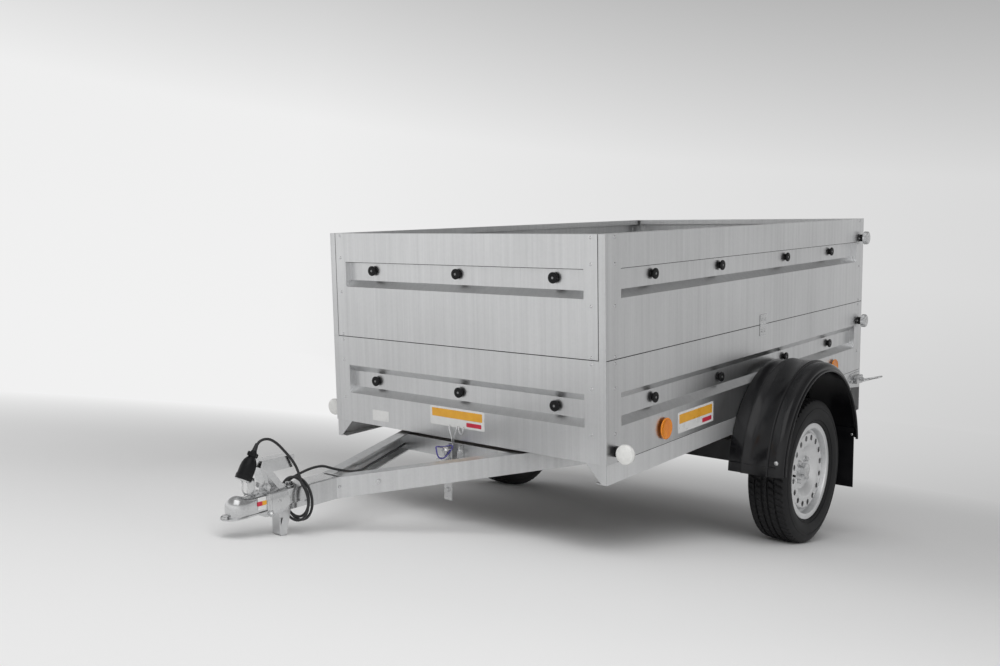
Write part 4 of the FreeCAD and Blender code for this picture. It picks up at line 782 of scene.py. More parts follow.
piece("marker_lenses", lens, "bed", WHITE_LENS, stands_for=("marker_lamps",))
piece(
    "reflector_discs", reflectors, "bed", AMBER_LENS,
    stands_for=("side_reflectors",),
)
piece("fluted_latch_knobs", latches, "bed", BRIGHT, stands_for=("latch_knobs",))

# %% [markdown]
# A pressed steel wheel is a rolled barrel with a disc welded in it. The disc dishes in to the hub and
# carries sixteen round holes, which cool the brake on a car and only save weight here. Barrel and
# disc are turned, and each hole's border is joined point by point to a circle inside it.

# %% Wheels
RING_STEPS, VENTS, VENT_TURN = 128, 16, -5.65
RING_IN, RING_OUT, RING_FRONT, RING_BACK, VENT_CIRCLE, VENT_R = 114, 138, 48, 44, 126, 11
BARREL = [
    (57, 183), (59.8, 183), (61, 181.6), (61, 178), (60.2, 172), (60.4, 166), (59.4, 162.5),
    (56, 161), (40, 160.4), (35, 158.5), (28, 146.5), (24, 144.4), (-12, 144), (-35, 161),
    (-57, 161), (-61, 162), (-61, 183), (-57, 183), (-57, 165), (-35, 165), (-12, 148), (26, 148),
    (35, 165), (57, 165), (57, 183),
]
DISH = [
    (RING_FRONT, RING_IN), (48, 101), (47, 97.5), (28.5, 74.5), (26, 71), (26, 29.5), (22, 29.5),
    (22, 70), (24.5, 75.5), (43, 97), (44, 101), (RING_BACK, RING_IN),
]
SKIRT = [
    (RING_FRONT, RING_OUT), (47.5, 140.5), (46, 142.6), (43.5, 143.8), (16, 143.9), (16, 140.2),
    (42, 140), (43.6, 139.4), (RING_BACK, RING_OUT),
]


def vented_ring(form, at):
    """The flat ring of the disc: one sector a hole, each side of the sector in eight steps."""
    half = math.pi / VENTS
    width = RING_OUT - RING_IN
    border = [(RING_OUT, -half + half * i / 4) for i in range(8)]
    border += [(RING_OUT - width * i / 8, half) for i in range(8)]
    border += [(RING_IN, half - half * i / 4) for i in range(8)]
    border += [(RING_IN + width * i / 8, -half) for i in range(8)]
    for vent in range(VENTS):
        middle = 2 * math.pi * (vent + 0.5) / VENTS
        hole_at = at @ Matrix.Rotation(middle, 4, "Z") @ shift(VENT_CIRCLE, 0, 0)
        holes = []
        for height in (RING_FRONT, RING_BACK):
            edge = [round_point(form, at, radius, middle + turn, height) for radius, turn in border]
            hole = [
                round_point(form, hole_at, VENT_R, 2 * math.pi * (i - 4) / len(border), height)
                for i in range(len(border))
            ]
            join(form, edge, hole)
            holes.append(hole)
        join(form, *holes)


for name, side in (("left", 1), ("right", -1)):
    form = bmesh.new()
    at = facing((AXLE_X, WHEEL_Y * side, AXLE_Z), (0, side, 0))
    at = at @ Matrix.Rotation(math.radians(VENT_TURN), 4, "Z")
    for profile in (BARREL, DISH, SKIRT):
        lathe(form, profile, RING_STEPS, at, caps=False)
    vented_ring(form, at)
    bmesh.ops.remove_doubles(form, verts=form.verts, dist=0.01)
    piece(
        f"wheel_disc_{name}", form, f"wheel_{name}", WHEEL,
        stands_for=(f"rim_{name}",),
    )

# %% [markdown]
# Each wheel is held by four cone-seated bolts round a pressed cap, and its valve looks out between
# two of the disc's holes. The bolts sit in small raised seats, which catch a ring of light each.

# %% Wheel bolts, cap and valve
BOLT_CIRCLE, VALVE_CIRCLE, VALVE_LEAN = 50, 138, 8
SEAT_OUT, CAP_OUT, VALVE_OUT = 26, 22, 34
BOLT_SEAT = [(-1, 15), (0.6, 14.6), (2.6, 12.4), (2.2, 10.5), (0.4, 9.8), (0.4, 0)]
HUB_CAP = [
    (3.5, 30.5), (5.6, 30.4), (6.2, 27.6), (19, 27.4), (25, 26), (27.6, 21), (28.6, 12), (29, 0),
]
VALVE = [(-8, 5.6), (0, 5.6), (2, 4.2), (16, 3.8), (17, 4.4), (26, 4.4), (27, 3.4), (27, 0)]


def on_wheel(side, radius, degrees, out):
    """A place on a wheel's outer face, facing outwards; degrees go round from the front, upwards."""
    angle = math.radians(degrees)
    x = AXLE_X + math.cos(angle) * radius
    z = AXLE_Z + math.sin(angle) * radius
    return facing((x, (WHEEL_Y + out) * side, z), (0, side, 0))


for name, side in (("left", 1), ("right", -1)):
    bolts, seats, cap, valve = bmesh.new(), bmesh.new(), bmesh.new(), bmesh.new()
    for i in range(4):
        at = on_wheel(side, BOLT_CIRCLE, 45 + 90 * i, SEAT_OUT)
        lathe(seats, BOLT_SEAT, 32, at)
        bolt(bolts, at, 17, 13)
    lathe(cap, HUB_CAP, 48, on_wheel(side, 0, 0, CAP_OUT))
    tip = Matrix.Rotation(math.radians(VALVE_LEAN), 4, "X")
    lathe(valve, VALVE, 20, on_wheel(side, VALVE_CIRCLE, -VENT_TURN, VALVE_OUT) @ tip)
    piece(f"wheel_bolts_{name}", bolts, f"wheel_{name}", BRIGHT)
    piece(f"bolt_seats_{name}", seats, f"wheel_{name}", WHEEL)
    piece(f"hub_cap_{name}", cap, f"wheel_{name}", BRIGHT)
    piece(f"valve_{name}", valve, f"wheel_{name}", BLACK)

# %% [markdown]
# The mudguards are moulded, so their edges can be round and folded, which stiffens a thin wall at no
# cost. One cross-section, with its thicker band, soft outer shoulder, groove and rolled lip, is swept
# along the guard's arc. A straight bead crosses each end, a screw holds its outer corner, and rivets
# hold the mud flap behind it.

# %% Mudguards
GUARD_Z, GUARD_LOW, GUARD_STEPS = 309, 337, 96
SHOULDER_Y, SHOULDER_R = 768, 354


def shoulder(radius, degrees):
    turns = [math.radians(a) for a in degrees]
    return [(SHOULDER_Y + math.cos(a) * radius, SHOULDER_R + math.sin(a) * radius) for a in turns]


SECTION = [
    (591.9, 357.2), (591.9, 377.5), (593, 380), (595.6, 381), (642, 381), (643, 384), (644.6, 386.6),
    (647.2, 387.6), (649.8, 386.6), (651.2, 385), (736, 385), (737.4, 386.6), (740, 387.6),
    (742.6, 386.6), (744.2, 384), (745.2, 381), *shoulder(27, (90, 75, 60, 45, 30, 15)),
    (793.6, 358.2), (794.2, 356), (796.2, 356.5), (798.9, 354.2), (799.6, 351.6), (798.7, 348.6),
    (796.2, 346.7), (792.6, 346.7), (789.9, 349), (789.6, 353), *shoulder(22.5, (30, 45, 60, 75, 90)),
    (745, 377), (595.9, 377), (595.9, 357.2),
]
# The two ends: where the bead lies, where the screw's head stands, and which way that faces.
GUARD_ENDS = ((-788.0, -792.0, 1), (-1544.0, -1540.0, -1))
GUARD_BEAD = [(0, 2.6), (100, 2.6), (170, 2.6)]
GUARD_SCREW = [(-2, 8), (1.2, 8), (3.0, 6.4), (3.8, 3), (3.8, 0)]


def guard_arc(radius, y):
    """Points along the guard's arc, from its front lower edge over the top to its rear one."""
    start = math.asin((GUARD_LOW - GUARD_Z) / radius)
    sweep = math.pi - 2 * start
    turns = [start + sweep * i / GUARD_STEPS for i in range(GUARD_STEPS + 1)]
    return [
        (AXLE_X + math.cos(turn) * radius, y, GUARD_Z + math.sin(turn) * radius) for turn in turns
    ]


def guard_form(side):
    form = bmesh.new()
    runs = [[form.verts.new(point) for point in guard_arc(radius, y * side)] for y, radius in SECTION]
    for run, following in zip(runs, runs[1:] + runs[:1]):
        for i in range(GUARD_STEPS):
            form.faces.new((run[i], run[i + 1], following[i + 1], following[i]))
    form.faces.new([run[0] for run in runs])
    form.faces.new([run[-1] for run in runs])
    return form


for name, side in (("left", 1), ("right", -1)):
    piece(
        f"guard_{name}", guard_form(side), "bed", GUARD, sharp=50,
        stands_for=(f"mudguard_{name}",),
    )
    beads, screws = bmesh.new(), bmesh.new()
    for bead_x, screw_x, outward in GUARD_ENDS:
        lathe(beads, GUARD_BEAD, 8, facing((bead_x, 600 * side, 371), (0, side, 0)))
        lathe(screws, GUARD_SCREW, 20, facing((screw_x, 772 * side, 388), (outward, 0, 0)))
    piece(f"guard_beads_{name}", beads, "bed", GUARD)
    piece(f"guard_screws_{name}", screws, "bed", BRIGHT)
spots = []
for y in (620, 694, 768):
    for side in (1, -1):
        for out, start in ((1, -1440), (-1, -1640)):
            spots.append(((start, y * side, 349), (out, 0, 0)))
rivets("flap_rivets", spots)

# %% [markdown]
# The stickers stay blank: a white ground with a plain amber band and a small red one, and one bare
# pale label. Each layer is a thin rounded plate pressed on the sheet that the ray finds, so that it
# is neither sunk nor floating, and the bands stand a hair proud of their ground.

# %% Blank stickers
FRONT_STICKER, SIDE_STICKER, LABEL = (240, 64), (247, 70), (82, 38)
GROUND_LIFT, BAND_LIFT = (-0.2, 0.4), (0.3, 0.6)
ground, amber_band, red_band, label = bmesh.new(), bmesh.new(), bmesh.new(), bmesh.new()
front_x = seat((AHEAD, 0, 600), (-1, 0, 0))[0]


def sticker(at, width, height, flip):
    """A white plate with a wide amber band above, and a small red one in a lower corner."""
    amber_at = at @ shift(0, height * 0.17, 0)
    red_at = at @ shift(width * 0.31 * flip, -height * 0.28, 0)
    slab(ground, rounded(width, height, 5), *GROUND_LIFT, at)
    slab(amber_band, rounded(width - 18, height * 0.44, 3), *BAND_LIFT, amber_at)
    slab(red_band, rounded(width * 0.27, height * 0.22, 3), *BAND_LIFT, red_at)


sticker(shift(front_x, 2, 597) @ ACROSS, *FRONT_STICKER, 1)
for side in (1, -1):
    wall_y = seat((-550, ASIDE * side, 574), (0, -side, 0))[1]
    reading = turned((-side, 0, 0), (0, 0, 1), (0, side, 0))
    sticker(shift(-549.5, wall_y, 574) @ reading, *SIDE_STICKER, side)
slab(label, rounded(*LABEL, 2), *GROUND_LIFT, shift(front_x, -360, 561) @ ACROSS)
piece("sticker_ground", ground, "bed", STICKER_WHITE)
piece("sticker_amber_band", amber_band, "bed", STICKER_AMBER)
piece("sticker_red_band", red_band, "bed", STICKER_RED)
piece("plain_label", label, "bed", STICKER_WHITE)

# %% [markdown]
# Two bent wire clips hang below the front wall to hold the tarpaulin's cord, and the lower rear
# corners carry a catch: a folded plate, a bolt through it, and a wire grip that the hand pulls.

# %% Wire clips and corner catches
CLIP_R, GRIP_R = 1.7, 3.4
LONG_CLIP = (
    (0, -30, 571), (4, -29, 560), (6, -22, 546), (8, -14, 528), (9, -12, 510), (9, -8, 505),
    (8, -5, 512), (7, -6, 530), (6, 0, 548), (4, 6, 562), (0, 6, 571),
)
SHORT_CLIP = (
    (0, 12, 571), (4, 13, 561), (6, 20, 548), (6, 27, 546), (5, 33, 552), (4, 34, 562),
    (0, 32, 571),
)
GRIP = (
    (-2092, 604, 476), (-2098, 622, 479), (-2104, 646, 484), (-2116, 668, 489), (-2118, 686, 494),
    (-2108, 694, 496), (-2096, 686, 493), (-2094, 668, 488), (-2098, 644, 480), (-2088, 622, 472),
    (-2080, 604, 468),
)
CATCH_PLATE = [(-2096, 440), (-1962, 456), (-1962, 500), (-1990, 514), (-2096, 514)]
CATCH_BLOCK = [(-2096, 462), (-2020, 466), (-2020, 500), (-2096, 500)]
PLATE_FACE, BLOCK_FACE = 595.4, 612
clip_top = front_x + 2.0
for name, shape in (("long", LONG_CLIP), ("short", SHORT_CLIP)):
    points = [(clip_top + x, y, z) for x, y, z in shape]
    wire(f"front_clip_{name}", points, CLIP_R, "bed", BRIGHT, BED)
catches, catch_bolts = bmesh.new(), bmesh.new()
for name, side in (("left", 1), ("right", -1)):
    at = beside(side)
    slab(catches, CATCH_PLATE, SIDE_FACE + 0.3, PLATE_FACE, at, 0.8)
    slab(catches, CATCH_BLOCK, PLATE_FACE - 0.2, BLOCK_FACE, at, 2.0)
    for x, y in ((-2078, BLOCK_FACE), (-1984, PLATE_FACE)):
        bolt(catch_bolts, facing((x, y * side, 482), (0, side, 0)), 13, 7, 9)
    points = [(x, y * side, z) for x, y, z in GRIP]
    wire(f"catch_grip_{name}", points, GRIP_R, "bed", BRIGHT, BED)
piece("corner_catches", catches, "bed", BRIGHT)
piece("corner_catch_bolts", catch_bolts, "bed", BRIGHT)

# %% [markdown]
# The tilt lock ties the box to the drawbar. Its sprung pin has a flanged nut below and a domed top,
# two cheeks guide it, and a violet-coated wire bail lies round it for the hand to lift.

# %% Tilt lock
LOCK_PIN = [
    (0, 15), (3, 15), (3.6, 12.4), (26, 12.0), (27, 13.6), (31, 13.6), (32, 12.4), (38.6, 10.2),
    (40, 6), (40.4, 0),
]
CHEEK = [(-3.6, 455.6), (30, 455.6), (30, 476), (16, 496), (-3.6, 497)]
CHEEK_Y, CHEEK_HALF = 25, 2
BAIL_R = 2.4
BAIL = [
    (64, 15, 474), (48, 17, 487), (34, 12, 494), (30, 0, 497), (34, -12, 494), (52, -17, 492),
    (80, -14, 500), (98, -6, 503), (104, 3, 494), (106, 8, 478), (98, 13, 466), (80, 16, 466),
    (66, 15, 472),
]
lock = bmesh.new()
lathe(lock, LOCK_PIN, 32, facing((57, 0, 456), (0, 0, 1)))
for side in (1, -1):
    at = beside(1) @ shift(0, 0, CHEEK_Y * side)
    slab(lock, CHEEK, -CHEEK_HALF, CHEEK_HALF, at, 0.8)
    head_at = facing((12, (CHEEK_Y + CHEEK_HALF) * side, 476), (0, side, 0))
    bolt(lock, head_at, 13, 7, 9)
for z in (352, 384):
    bolt(lock, facing((48, 0, z), (1, 0, 0)), 13, 6, 9)
piece("tilt_lock_fittings", lock, "drawbar", BRIGHT, BAR)
wire("tilt_lock_bail", BAIL, BAIL_R, "drawbar", VIOLET, BAR)

# %% [markdown]
# The coupling head is pressed from sheet: a cup for the ball that flows back into a box-like neck,
# with a narrow lip turned out along its lower edge. It is drawn as cross-sections along the drawbar,
# each with upright sides and an arched top, and the lip is one flat outline under them.

# %% Coupling head
BALL_X, BALL_R, HEAD_LOW = 880, 30.2, 456.0
CUP_SPRING, CUP_STEPS, NOSE_TURN = 482, 12, 88.5
LIP_LOW, LIP_TOP = 455.2, 459.4
NOSE_X, NOSE_LOW, NOSE_TOP = 915, 455.6, 468
NECK = [
    (798, 31.0, 496, 505.0, 463), (812, 30.6, 496, 505.0, 462), (826, 29.8, 495, 504.2, 461),
    (840, 29.2, 493, 503.4, 459.5), (852, 29.0, 489, 504.4, 458), (864, 29.4, 484, 508.6, 457),
    (872, 29.9, CUP_SPRING, 511.2, HEAD_LOW),
]
LIP = [
    (806, 32.4), (830, 32.0), (852, 32.6), (868, 34.2), (884, 35.2), (898, 33.2), (910, 27.5),
    (919, 19.5), (924.4, 9),
]


def arch_ring(form, x, half, spring, top, low):
    """A cross-section: upright sides to the spring line, and an arch over them."""
    outline = [(half, low), (half, (low + spring) / 2)]
    for i in range(17):
        angle = math.pi * i / 16
        outline.append((math.cos(angle) * half, spring + math.sin(angle) * (top - spring)))
    outline += [(-half, (low + spring) / 2), (-half, low)]
    return [form.verts.new((x, y, z)) for y, z in outline]


head = bmesh.new()
stations = list(NECK)
for i in range(CUP_STEPS + 1):
    angle = math.radians(min(90 * i / CUP_STEPS, NOSE_TURN))
    reach = math.cos(angle) * BALL_R
    x = BALL_X + math.sin(angle) * BALL_R
    stations.append((x, reach, CUP_SPRING, CUP_SPRING + reach, HEAD_LOW))
loft(head, [arch_ring(head, *station) for station in stations])
lip_outline = LIP + [(924.8, 0)] + [(x, -y) for x, y in reversed(LIP)]
slab(head, lip_outline, LIP_LOW, LIP_TOP, Matrix.Identity(4), 1.2)
slab(head, rounded(18, 24, 7), NOSE_LOW, NOSE_TOP, shift(NOSE_X, 0, 0), 3.0)
piece(
    "coupling_head_shell", head, "drawbar", BRIGHT, BAR, sharp=50,
    stands_for=("coupling_head",),
)

# %% [markdown]
# Behind the head the same pressing hugs the tube as a sleeve. Its rear edge is cut to a shallow
# curve and a rolled band runs round its front. The beams' noses are riveted to the tube behind it,
# and a bolt closes the lever's foot. A wire clip on each side holds the plug, and each side of the
# neck carries a small blank sticker with its own two bands.

# %% Coupling sleeve and bolts
TUBE_TOP, TUBE_LOW, TUBE_CREASE = 504, 442, 462
SLEEVE_REAR, SLEEVE_FRONT, BAND_REAR, BAND_FRONT = 725, 803, 787, 797
TUBE_MIDDLE, REAR_CUT, CUT_REACH = 474, 14, 32
SLEEVE_RIVET = [(-1, 5), (0.8, 4.8), (1.6, 3.4), (1.6, 0)]
NECK_X, NECK_HALF, NECK_TAPER = 798, 31.0, 0.035
PLUG_CLIP_R = 2.2
PLUG_CLIP = (
    (834, 8, 505), (846, 10, 508), (852, 11, 520), (849, 11, 536), (852, 12, 548), (860, 14, 553),
)


def round_tube(extra):
    """The coupling tube's outline, grown by extra: a rounded top, and sides that narrow below."""
    half, toe, top = 31 + extra, 20 + extra * 0.8, TUBE_TOP + extra
    right = [(half, top - 6), (half - 2, top - 2), (half - 6, top)]
    crease = TUBE_CREASE - extra * 0.5
    return right + [(-y, z) for y, z in reversed(right)] + [
        (-half, 480), (-half, crease), (-toe, TUBE_LOW - extra), (toe, TUBE_LOW - extra),
        (half, crease), (half, 480),
    ]


sleeve_form, coupling_bolts = bmesh.new(), bmesh.new()
slab(sleeve_form, round_tube(1.8), SLEEVE_REAR, SLEEVE_FRONT, ACROSS)
for corner in sleeve_form.verts:
    if corner.co.x < SLEEVE_REAR + 1:
        corner.co.x += REAR_CUT * ((corner.co.z - TUBE_MIDDLE) / CUT_REACH) ** 2
slab(sleeve_form, round_tube(3.0), BAND_REAR, BAND_FRONT, ACROSS, 1.2)
for side in (1, -1):
    bolt(coupling_bolts, facing((790, 27 * side, 450), (0, side * 0.8, -0.6)), 13, 8, 9)
    lathe(coupling_bolts, SLEEVE_RIVET, 20, facing((762, 32.6 * side, 478), (0, side, 0)))
    bolt(coupling_bolts, facing((792, 19 * side, 522), (0, side, 0)), 13, 6, 9)
    for x, radius, lean in ((552, 5, 0), (442, 8.5, 0.35)):
        point = seat((x, 200 * side, TUBE_MIDDLE), (0, -side, 0), BAR)
        rivet = [(-1, radius), (0.8, radius * 0.97), (2.0, radius * 0.7), (2.6, 0)]
        lathe(coupling_bolts, rivet, 24, facing(point, (lean, side, 0)))
bolt(coupling_bolts, facing((706, 0, 504), (0, 0, 1)), 15, 9, 12)
piece("coupling_sleeve", sleeve_form, "drawbar", BRIGHT, BAR, sharp=30)
piece("coupling_bolts", coupling_bolts, "drawbar", BRIGHT, BAR)
for name, side in (("left", 1), ("right", -1)):
    points = [(x, y * side, z) for x, y, z in PLUG_CLIP]
    wire(f"plug_clip_{name}", points, PLUG_CLIP_R, "drawbar", BRIGHT, BAR)
for name, x, width, height, lift, finish, slot in (
    ("ground", 808, 34, 26, 0.4, STICKER_WHITE, "white_lens"),
    ("amber", 801, 12, 16, 0.8, STICKER_AMBER, "amber_lens"),
    ("red", 815, 12, 16, 0.8, STICKER_RED, "red_lens"),
):
    form = bmesh.new()
    for side in (1, -1):
        neck_y = NECK_HALF - (x - NECK_X) * NECK_TAPER
        at = facing((x + 12, neck_y * side, 484), (0.04, side, 0))
        slab(form, rounded(height, width, 2), lift - 0.5, lift, at)
    piece(f"neck_sticker_{name}", form, "drawbar", finish, BAR)

# %% [markdown]
# Each rear lamp is a black tray with three lens blocks, amber outside, red in the middle and white
# inside. Upright ribs on the lenses stand for the moulded prisms that spread the bulb's light.

# %% Rear lamps
TRAY_FACE, LENS_FACE = 2122, 2144
RIB_PITCH, RIB_WIDTH, RIB_RISE, RIB_MARGIN = 6.4, 2.6, 2.5, 6
LENSES = (
    ("amber", AMBER_LENS, 518, 576), ("red", RED_LENS, 414, 514), ("white", WHITE_LENS, 358, 410),
)
tray = bmesh.new()
lens_forms = {name: bmesh.new() for name, finish, low, high in LENSES}
at = turned((0, 1, 0), (0, 0, 1), (-1, 0, 0))
for side in (1, -1):
    slab(tray, box_of(352 * side, 580.5 * side, 343, 441), REAR_FACE, TRAY_FACE, at, 2.0)
    for name, finish, low, high in LENSES:
        form = lens_forms[name]
        slab(form, box_of(low * side, high * side, 348, 436), TRAY_FACE - 1, LENS_FACE, at, 3.0)
        rib = low + RIB_MARGIN
        while rib < high - RIB_MARGIN:
            upright = box_of(rib * side, (rib + RIB_WIDTH) * side, 352, 432)
            slab(form, upright, LENS_FACE - 1, LENS_FACE + RIB_RISE, at, 0.9)
            rib += RIB_PITCH
piece("rear_lamp_tray", tray, "bed", BLACK, stands_for=("rear_lamps",))
for name, finish, low, high in LENSES:
    piece(f"rear_lens_{name}", lens_forms[name], "bed", finish)

# %% [markdown]
# Small fasteners finish the chassis: bolts through the axle's plates and the hinge plates, and three
# rows of screws along the floor, one at each edge and one in the middle.

# %% Chassis fasteners
FLOOR_SCREW = [(-0.3, 6.5), (0.6, 6.3), (1.1, 5.0), (1.1, 2.0), (0.3, 1.6), (0.3, 0)]
under, floor_screws = bmesh.new(), bmesh.new()
for side in (1, -1):
    for x in (-1043, -927):
        for z in (420, 444):
            bolt(under, on_frame((x, 640 * side, z), (0, side, 0)), 15, 8, 11)
    for x in (-632, -568):
        bolt(under, on_frame((x, 530 * side, 420), (0, 0, -1)), 13, 7, 10)
for x in (-60, -400, -740, -1080, -1420, -1760, -2040):
    for y in (-520, 0, 520):
        lathe(floor_screws, FLOOR_SCREW, 18, on_frame((x, y, 900), (0, 0, 1)))
piece("chassis_bolts", under, "bed", BRIGHT)
piece("floor_screws", floor_screws, "bed", BRIGHT)

# %% [markdown]
# The plug hangs over the coupling in its bracket. It has a round black shell with a collar where its
# mouth begins, a stepped neck, a ribbed nut with two small ears, and a sleeve that tapers along the
# lead. All of it is turned about the plug's own leaning line.

# %% Plug
PLUG_LEAN, PLUG_FOOT = 29, (856, 0, 551)
PLUG_SHELL = [
    (0, 18.0), (0, 21.8), (0.8, 22.9), (10.5, 23.2), (11.3, 23.4), (13.0, 23.2), (13.6, 21.9),
    (16, 21.7), (34, 21.6), (45, 20.4), (53, 17.6), (59, 14.0), (63, 10.8), (65, 9.6), (66, 9.0),
    (72, 8.6),
]
PLUG_NUT = ((64, 9.5, 0), (65, 11.6, 1.0), (75, 11.2, 1.0), (78, 8.6, 0.3), (82, 7.2, 0))
NUT_EAR = [(0, -5.0), (5.5, -4.6), (8.6, -2.4), (9.2, 0), (8.6, 2.4), (5.5, 4.6), (0, 5.0)]
PLUG_SLEEVE = [(80, 7.0), (84, 6.6), (90, 6.0), (96, 5.2), (102, 4.6), (102.5, 4.0)]
lean = math.radians(PLUG_LEAN)
plug_line = (-math.sin(lean), 0, math.cos(lean))
at_plug = facing(PLUG_FOOT, plug_line, (0, 1, 0))
shell, nut, sleeve = bmesh.new(), bmesh.new(), bmesh.new()
lathe(shell, PLUG_SHELL, 48, at_plug)
fluted(nut, PLUG_NUT, 12, 1, at_plug)
for turn in (0, math.pi):
    ear = at_plug @ Matrix.Rotation(turn, 4, "Z") @ shift(9.0, 0, 64.5)
    slab(nut, NUT_EAR, 0, 12, ear, 1.6)
lathe(sleeve, PLUG_SLEEVE, 24, at_plug)
piece("plug_shell", shell, "drawbar", BLACK, BAR, stands_for=("light_plug",))
piece("plug_nut", nut, "drawbar", BLACK, BAR)
piece("plug_sleeve", sleeve, "drawbar", CABLE, BAR)

# %% [markdown]
# The light lead leaves the drawbar's cross member, runs along the right beam, winds round the
# coupling tube, and arches up into the back of its plug. It is one flexible cable about two metres
# long, so it is one spline: its points follow the frame's route, and each turn of the coil has
# fourteen of them. The turns lie side by side, and their radius wanders a little, as it does when a
# hand winds a stiff cable. A short sleeve that the spline itself leads through hides the cut end.

# %% Light lead
LEAD_D = 7.5
BACK_START = Vector((668, -16, 520))
BACK_BENDS = [
    (8, -8, -1), (28, 8, 11), (56, 12, 16), (90, 14, 15), (122, 14, 1), (166, 14, -15), (231, -8, -34),
    (306, -54, -51), (381, -106, -59), (461, -142, -62), (546, -180, -60), (608, -206, -62),
]
route = [Vector((-2.2, -249, 462))]
for back, left, up in reversed(BACK_BENDS):
    route.append(BACK_START + Vector((-back, left, up)))
PER_TURN, COIL_POINTS, COIL_START = 14, 40, math.radians(-15.7)
COIL_X, COIL_RUN, COIL_Z, COIL_R = 667.5, 22.5, 463, 60
SWAY, SHIVER = 4.5, 1.5
for i in range(1, COIL_POINTS + 1):
    share = i / COIL_POINTS
    angle = COIL_START - 2 * math.pi * i / PER_TURN
    radius = COIL_R + SWAY * math.sin(share * 9.0) - SHIVER * math.cos(share * 23.0)
    along = COIL_X + COIL_RUN * share
    route.append(Vector((along, math.sin(angle) * radius, COIL_Z + math.cos(angle) * radius)))
PLUG_END = Vector((816.25, 0, 622.7))
FRONT_BENDS = [
    (10, 0, 18), (27, 2, 27.0), (47, 7, 25), (66, 14, 10), (82, 21, -11), (99, 27, -34),
    (114, 31, -59), (124, 32, -86),
]
for back, left, up in reversed(FRONT_BENDS):
    route.append(PLUG_END + Vector((-back, left, up)))
route.append(PLUG_END)
lead = wire("lead", route, LEAD_D / 2, "drawbar", CABLE, BAR, sides=4)
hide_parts("light_lead", "lead_coil", "light_lead_rear")
print("lead points", len(route))

# %% [markdown]
# A sheet metal box is a set of mirrors, so the light is mostly the room that it reflects. The front
# wall mirrors the floor ahead, which the one large softbox lights, and the left wall mirrors the
# horizon behind, which is kept a little darker. Overhead the room is dim, so that the sloping sides
# of the recesses read as dark lines. Far from the trailer the floor fades into the horizon's own
# level where the camera or a reflection sees it, and so the backdrop has no edge.

# %% Room levels
FLOOR_COLOUR = 0.86
LEVELS_BY_HEIGHT = ((0.0, 0.88), (0.22, 0.86), (0.45, 0.38), (0.8, 0.30), (1.0, 0.55))
DIM_SIDE = (-0.777, 0.629, 0.0)
SKY_DIM, FLOOR_DIM, HAZE_TOP = 0.32, 0.46, 0.12


def math_node(tree, kind, first, second=None):
    node = tree.nodes.new("ShaderNodeMath")
    node.operation = kind
    node.use_clamp = True
    for index, value in enumerate((first, second)):
        if isinstance(value, float):
            node.inputs[index].default_value = value
        elif value is not None:
            tree.links.new(value, node.inputs[index])
    return node.outputs[0]


def dimmed(tree, direction, by):
    """1 all round, and less towards the dim side."""
    unit = tree.nodes.new("ShaderNodeVectorMath")
    unit.operation = "NORMALIZE"
    tree.links.new(direction, unit.inputs[0])
    dot = tree.nodes.new("ShaderNodeVectorMath")
    dot.operation = "DOT_PRODUCT"
    tree.links.new(unit.outputs["Vector"], dot.inputs[0])
    dot.inputs[1].default_value = DIM_SIDE
    facing_it = math_node(tree, "MAXIMUM", dot.outputs["Value"], 0.0)
    fall = math_node(tree, "MULTIPLY", facing_it, by)
    return math_node(tree, "SUBTRACT", 1.0, fall)


world = bpy.data.worlds.new("studio")
bpy.context.scene.world = world
world.use_nodes = True
room = world.node_tree
coords = room.nodes.new("ShaderNodeTexCoord")
split = room.nodes.new("ShaderNodeSeparateXYZ")
ramp = room.nodes.new("ShaderNodeValToRGB")
room.links.new(coords.outputs["Generated"], split.inputs["Vector"])
room.links.new(split.outputs["Z"], ramp.inputs["Fac"])
for height, level in LEVELS_BY_HEIGHT:
    if height in (0.0, 1.0):
        stop = ramp.color_ramp.elements[0 if height == 0.0 else -1]
    else:
        stop = ramp.color_ramp.elements.new(height)
    stop.color = (level, level, level, 1)
room.links.new(ramp.outputs["Color"], room.nodes["Background"].inputs["Color"])
haze = room.nodes.new("ShaderNodeMapRange")
haze.inputs["From Max"].default_value = HAZE_TOP
haze.inputs["To Min"].default_value = FLOOR_DIM
haze.inputs["To Max"].default_value = SKY_DIM
room.links.new(split.outputs["Z"], haze.inputs["Value"])
strength = dimmed(room, coords.outputs["Generated"], haze.outputs["Result"])
room.links.new(strength, room.nodes["Background"].inputs["Strength"])
print("room levels", LEVELS_BY_HEIGHT)

# %% [markdown]
# The floor is one wide sheet of pale paper with a faint cloud in it. Near the trailer it is plain
# paper that takes soft shadows, and farther out it turns into the horizon's level.

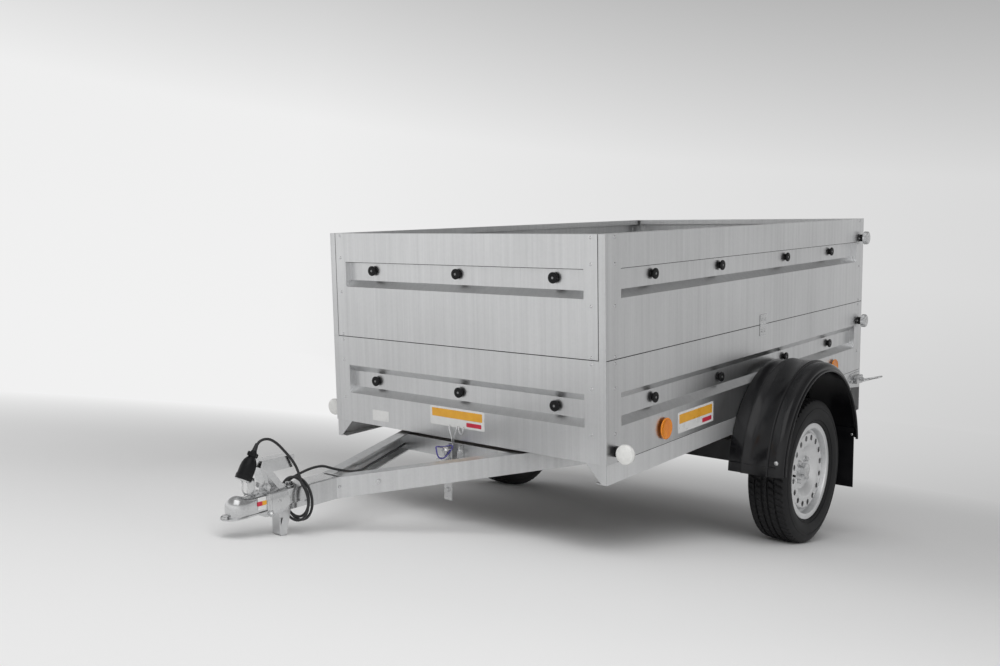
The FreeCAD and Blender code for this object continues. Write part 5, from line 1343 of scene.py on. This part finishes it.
# %% Floor
REACH, SQUARES = 60.0, 24
NEAR, FAR = 1.6, 4.6
floor = bpy.data.meshes.new("floor")
floor_form = bmesh.new()
bmesh.ops.create_grid(floor_form, x_segments=SQUARES, y_segments=SQUARES, size=REACH)
floor_form.to_mesh(floor)
floor_form.free()
floor_object = bpy.data.objects.new("floor", floor)
bpy.context.scene.collection.objects.link(floor_object)
paper = Finish("paper", (FLOOR_COLOUR,) * 3, 0.9, Specular_IOR_Level=0.0)
cloud = paper.noise(0.6, detail=1.0)
paper.colour(paper.shades(cloud, (FLOOR_COLOUR - 0.02,) * 3, (FLOOR_COLOUR + 0.01,) * 3))
where = paper.add("NewGeometry")
away = paper.tree.nodes.new("ShaderNodeVectorMath")
away.operation = "LENGTH"
paper.link(where.outputs["Position"], away.inputs[0])
far_share = paper.ramp(away.outputs["Value"], 0.0, 1.0, NEAR, FAR)
rays = paper.add("LightPath")
seen = math_node(paper.tree, "ADD", rays.outputs["Is Camera Ray"], rays.outputs["Is Glossy Ray"])
seen = math_node(paper.tree, "ADD", seen, rays.outputs["Is Transmission Ray"])
glow = paper.add("Emission", Color=(LEVELS_BY_HEIGHT[0][1],) * 3 + (1,))
paper.link(dimmed(paper.tree, where.outputs["Position"], FLOOR_DIM), glow.inputs["Strength"])
blend = paper.add("MixShader")
paper.link(math_node(paper.tree, "MULTIPLY", seen, far_share), blend.inputs["Fac"])
paper.link(paper.shader.outputs["BSDF"], blend.inputs[1])
paper.link(glow.outputs["Emission"], blend.inputs[2])
paper.link(blend.outputs["Shader"], paper.tree.nodes["Material Output"].inputs["Surface"])
floor.materials.append(paper.material)
print("floor fades between", NEAR, "and", FAR, "metres")

# %% [markdown]
# One softbox hangs ahead of the trailer, hidden from the camera. A bare one would burn white stripes
# into the folds that mirror it, as an unfiltered lamp does on sheet metal, so two thirds of its light
# come from a twin that no surface mirrors, just as a polarising filter takes that glare away.

# %% Softbox
SOFTBOX_AT, SOFTBOX_AIM, SOFTBOX_SIZE = (2.7, 1.5, 3.1), (0.9, 0.0, 0.3), 3.2
MIRRORED_WATTS, HIDDEN_WATTS = 30, 60


def softbox(name, watts, mirrored):
    light = bpy.data.lights.new(name, "AREA")
    light.shape = "RECTANGLE"
    light.size, light.size_y = SOFTBOX_SIZE, SOFTBOX_SIZE
    light.energy = watts
    lamp = bpy.data.objects.new(name, light)
    lamp.visible_camera = False
    lamp.visible_glossy = mirrored
    bpy.context.scene.collection.objects.link(lamp)
    direction = Vector(SOFTBOX_AIM) - Vector(SOFTBOX_AT)
    bearing = direction.to_track_quat("-Z", "Y").to_matrix().to_4x4()
    lamp.matrix_world = shift(*SOFTBOX_AT) @ bearing


softbox("key", MIRRORED_WATTS, True)
softbox("fill", HIDDEN_WATTS, False)
print("softbox of", MIRRORED_WATTS + HIDDEN_WATTS, "watts")
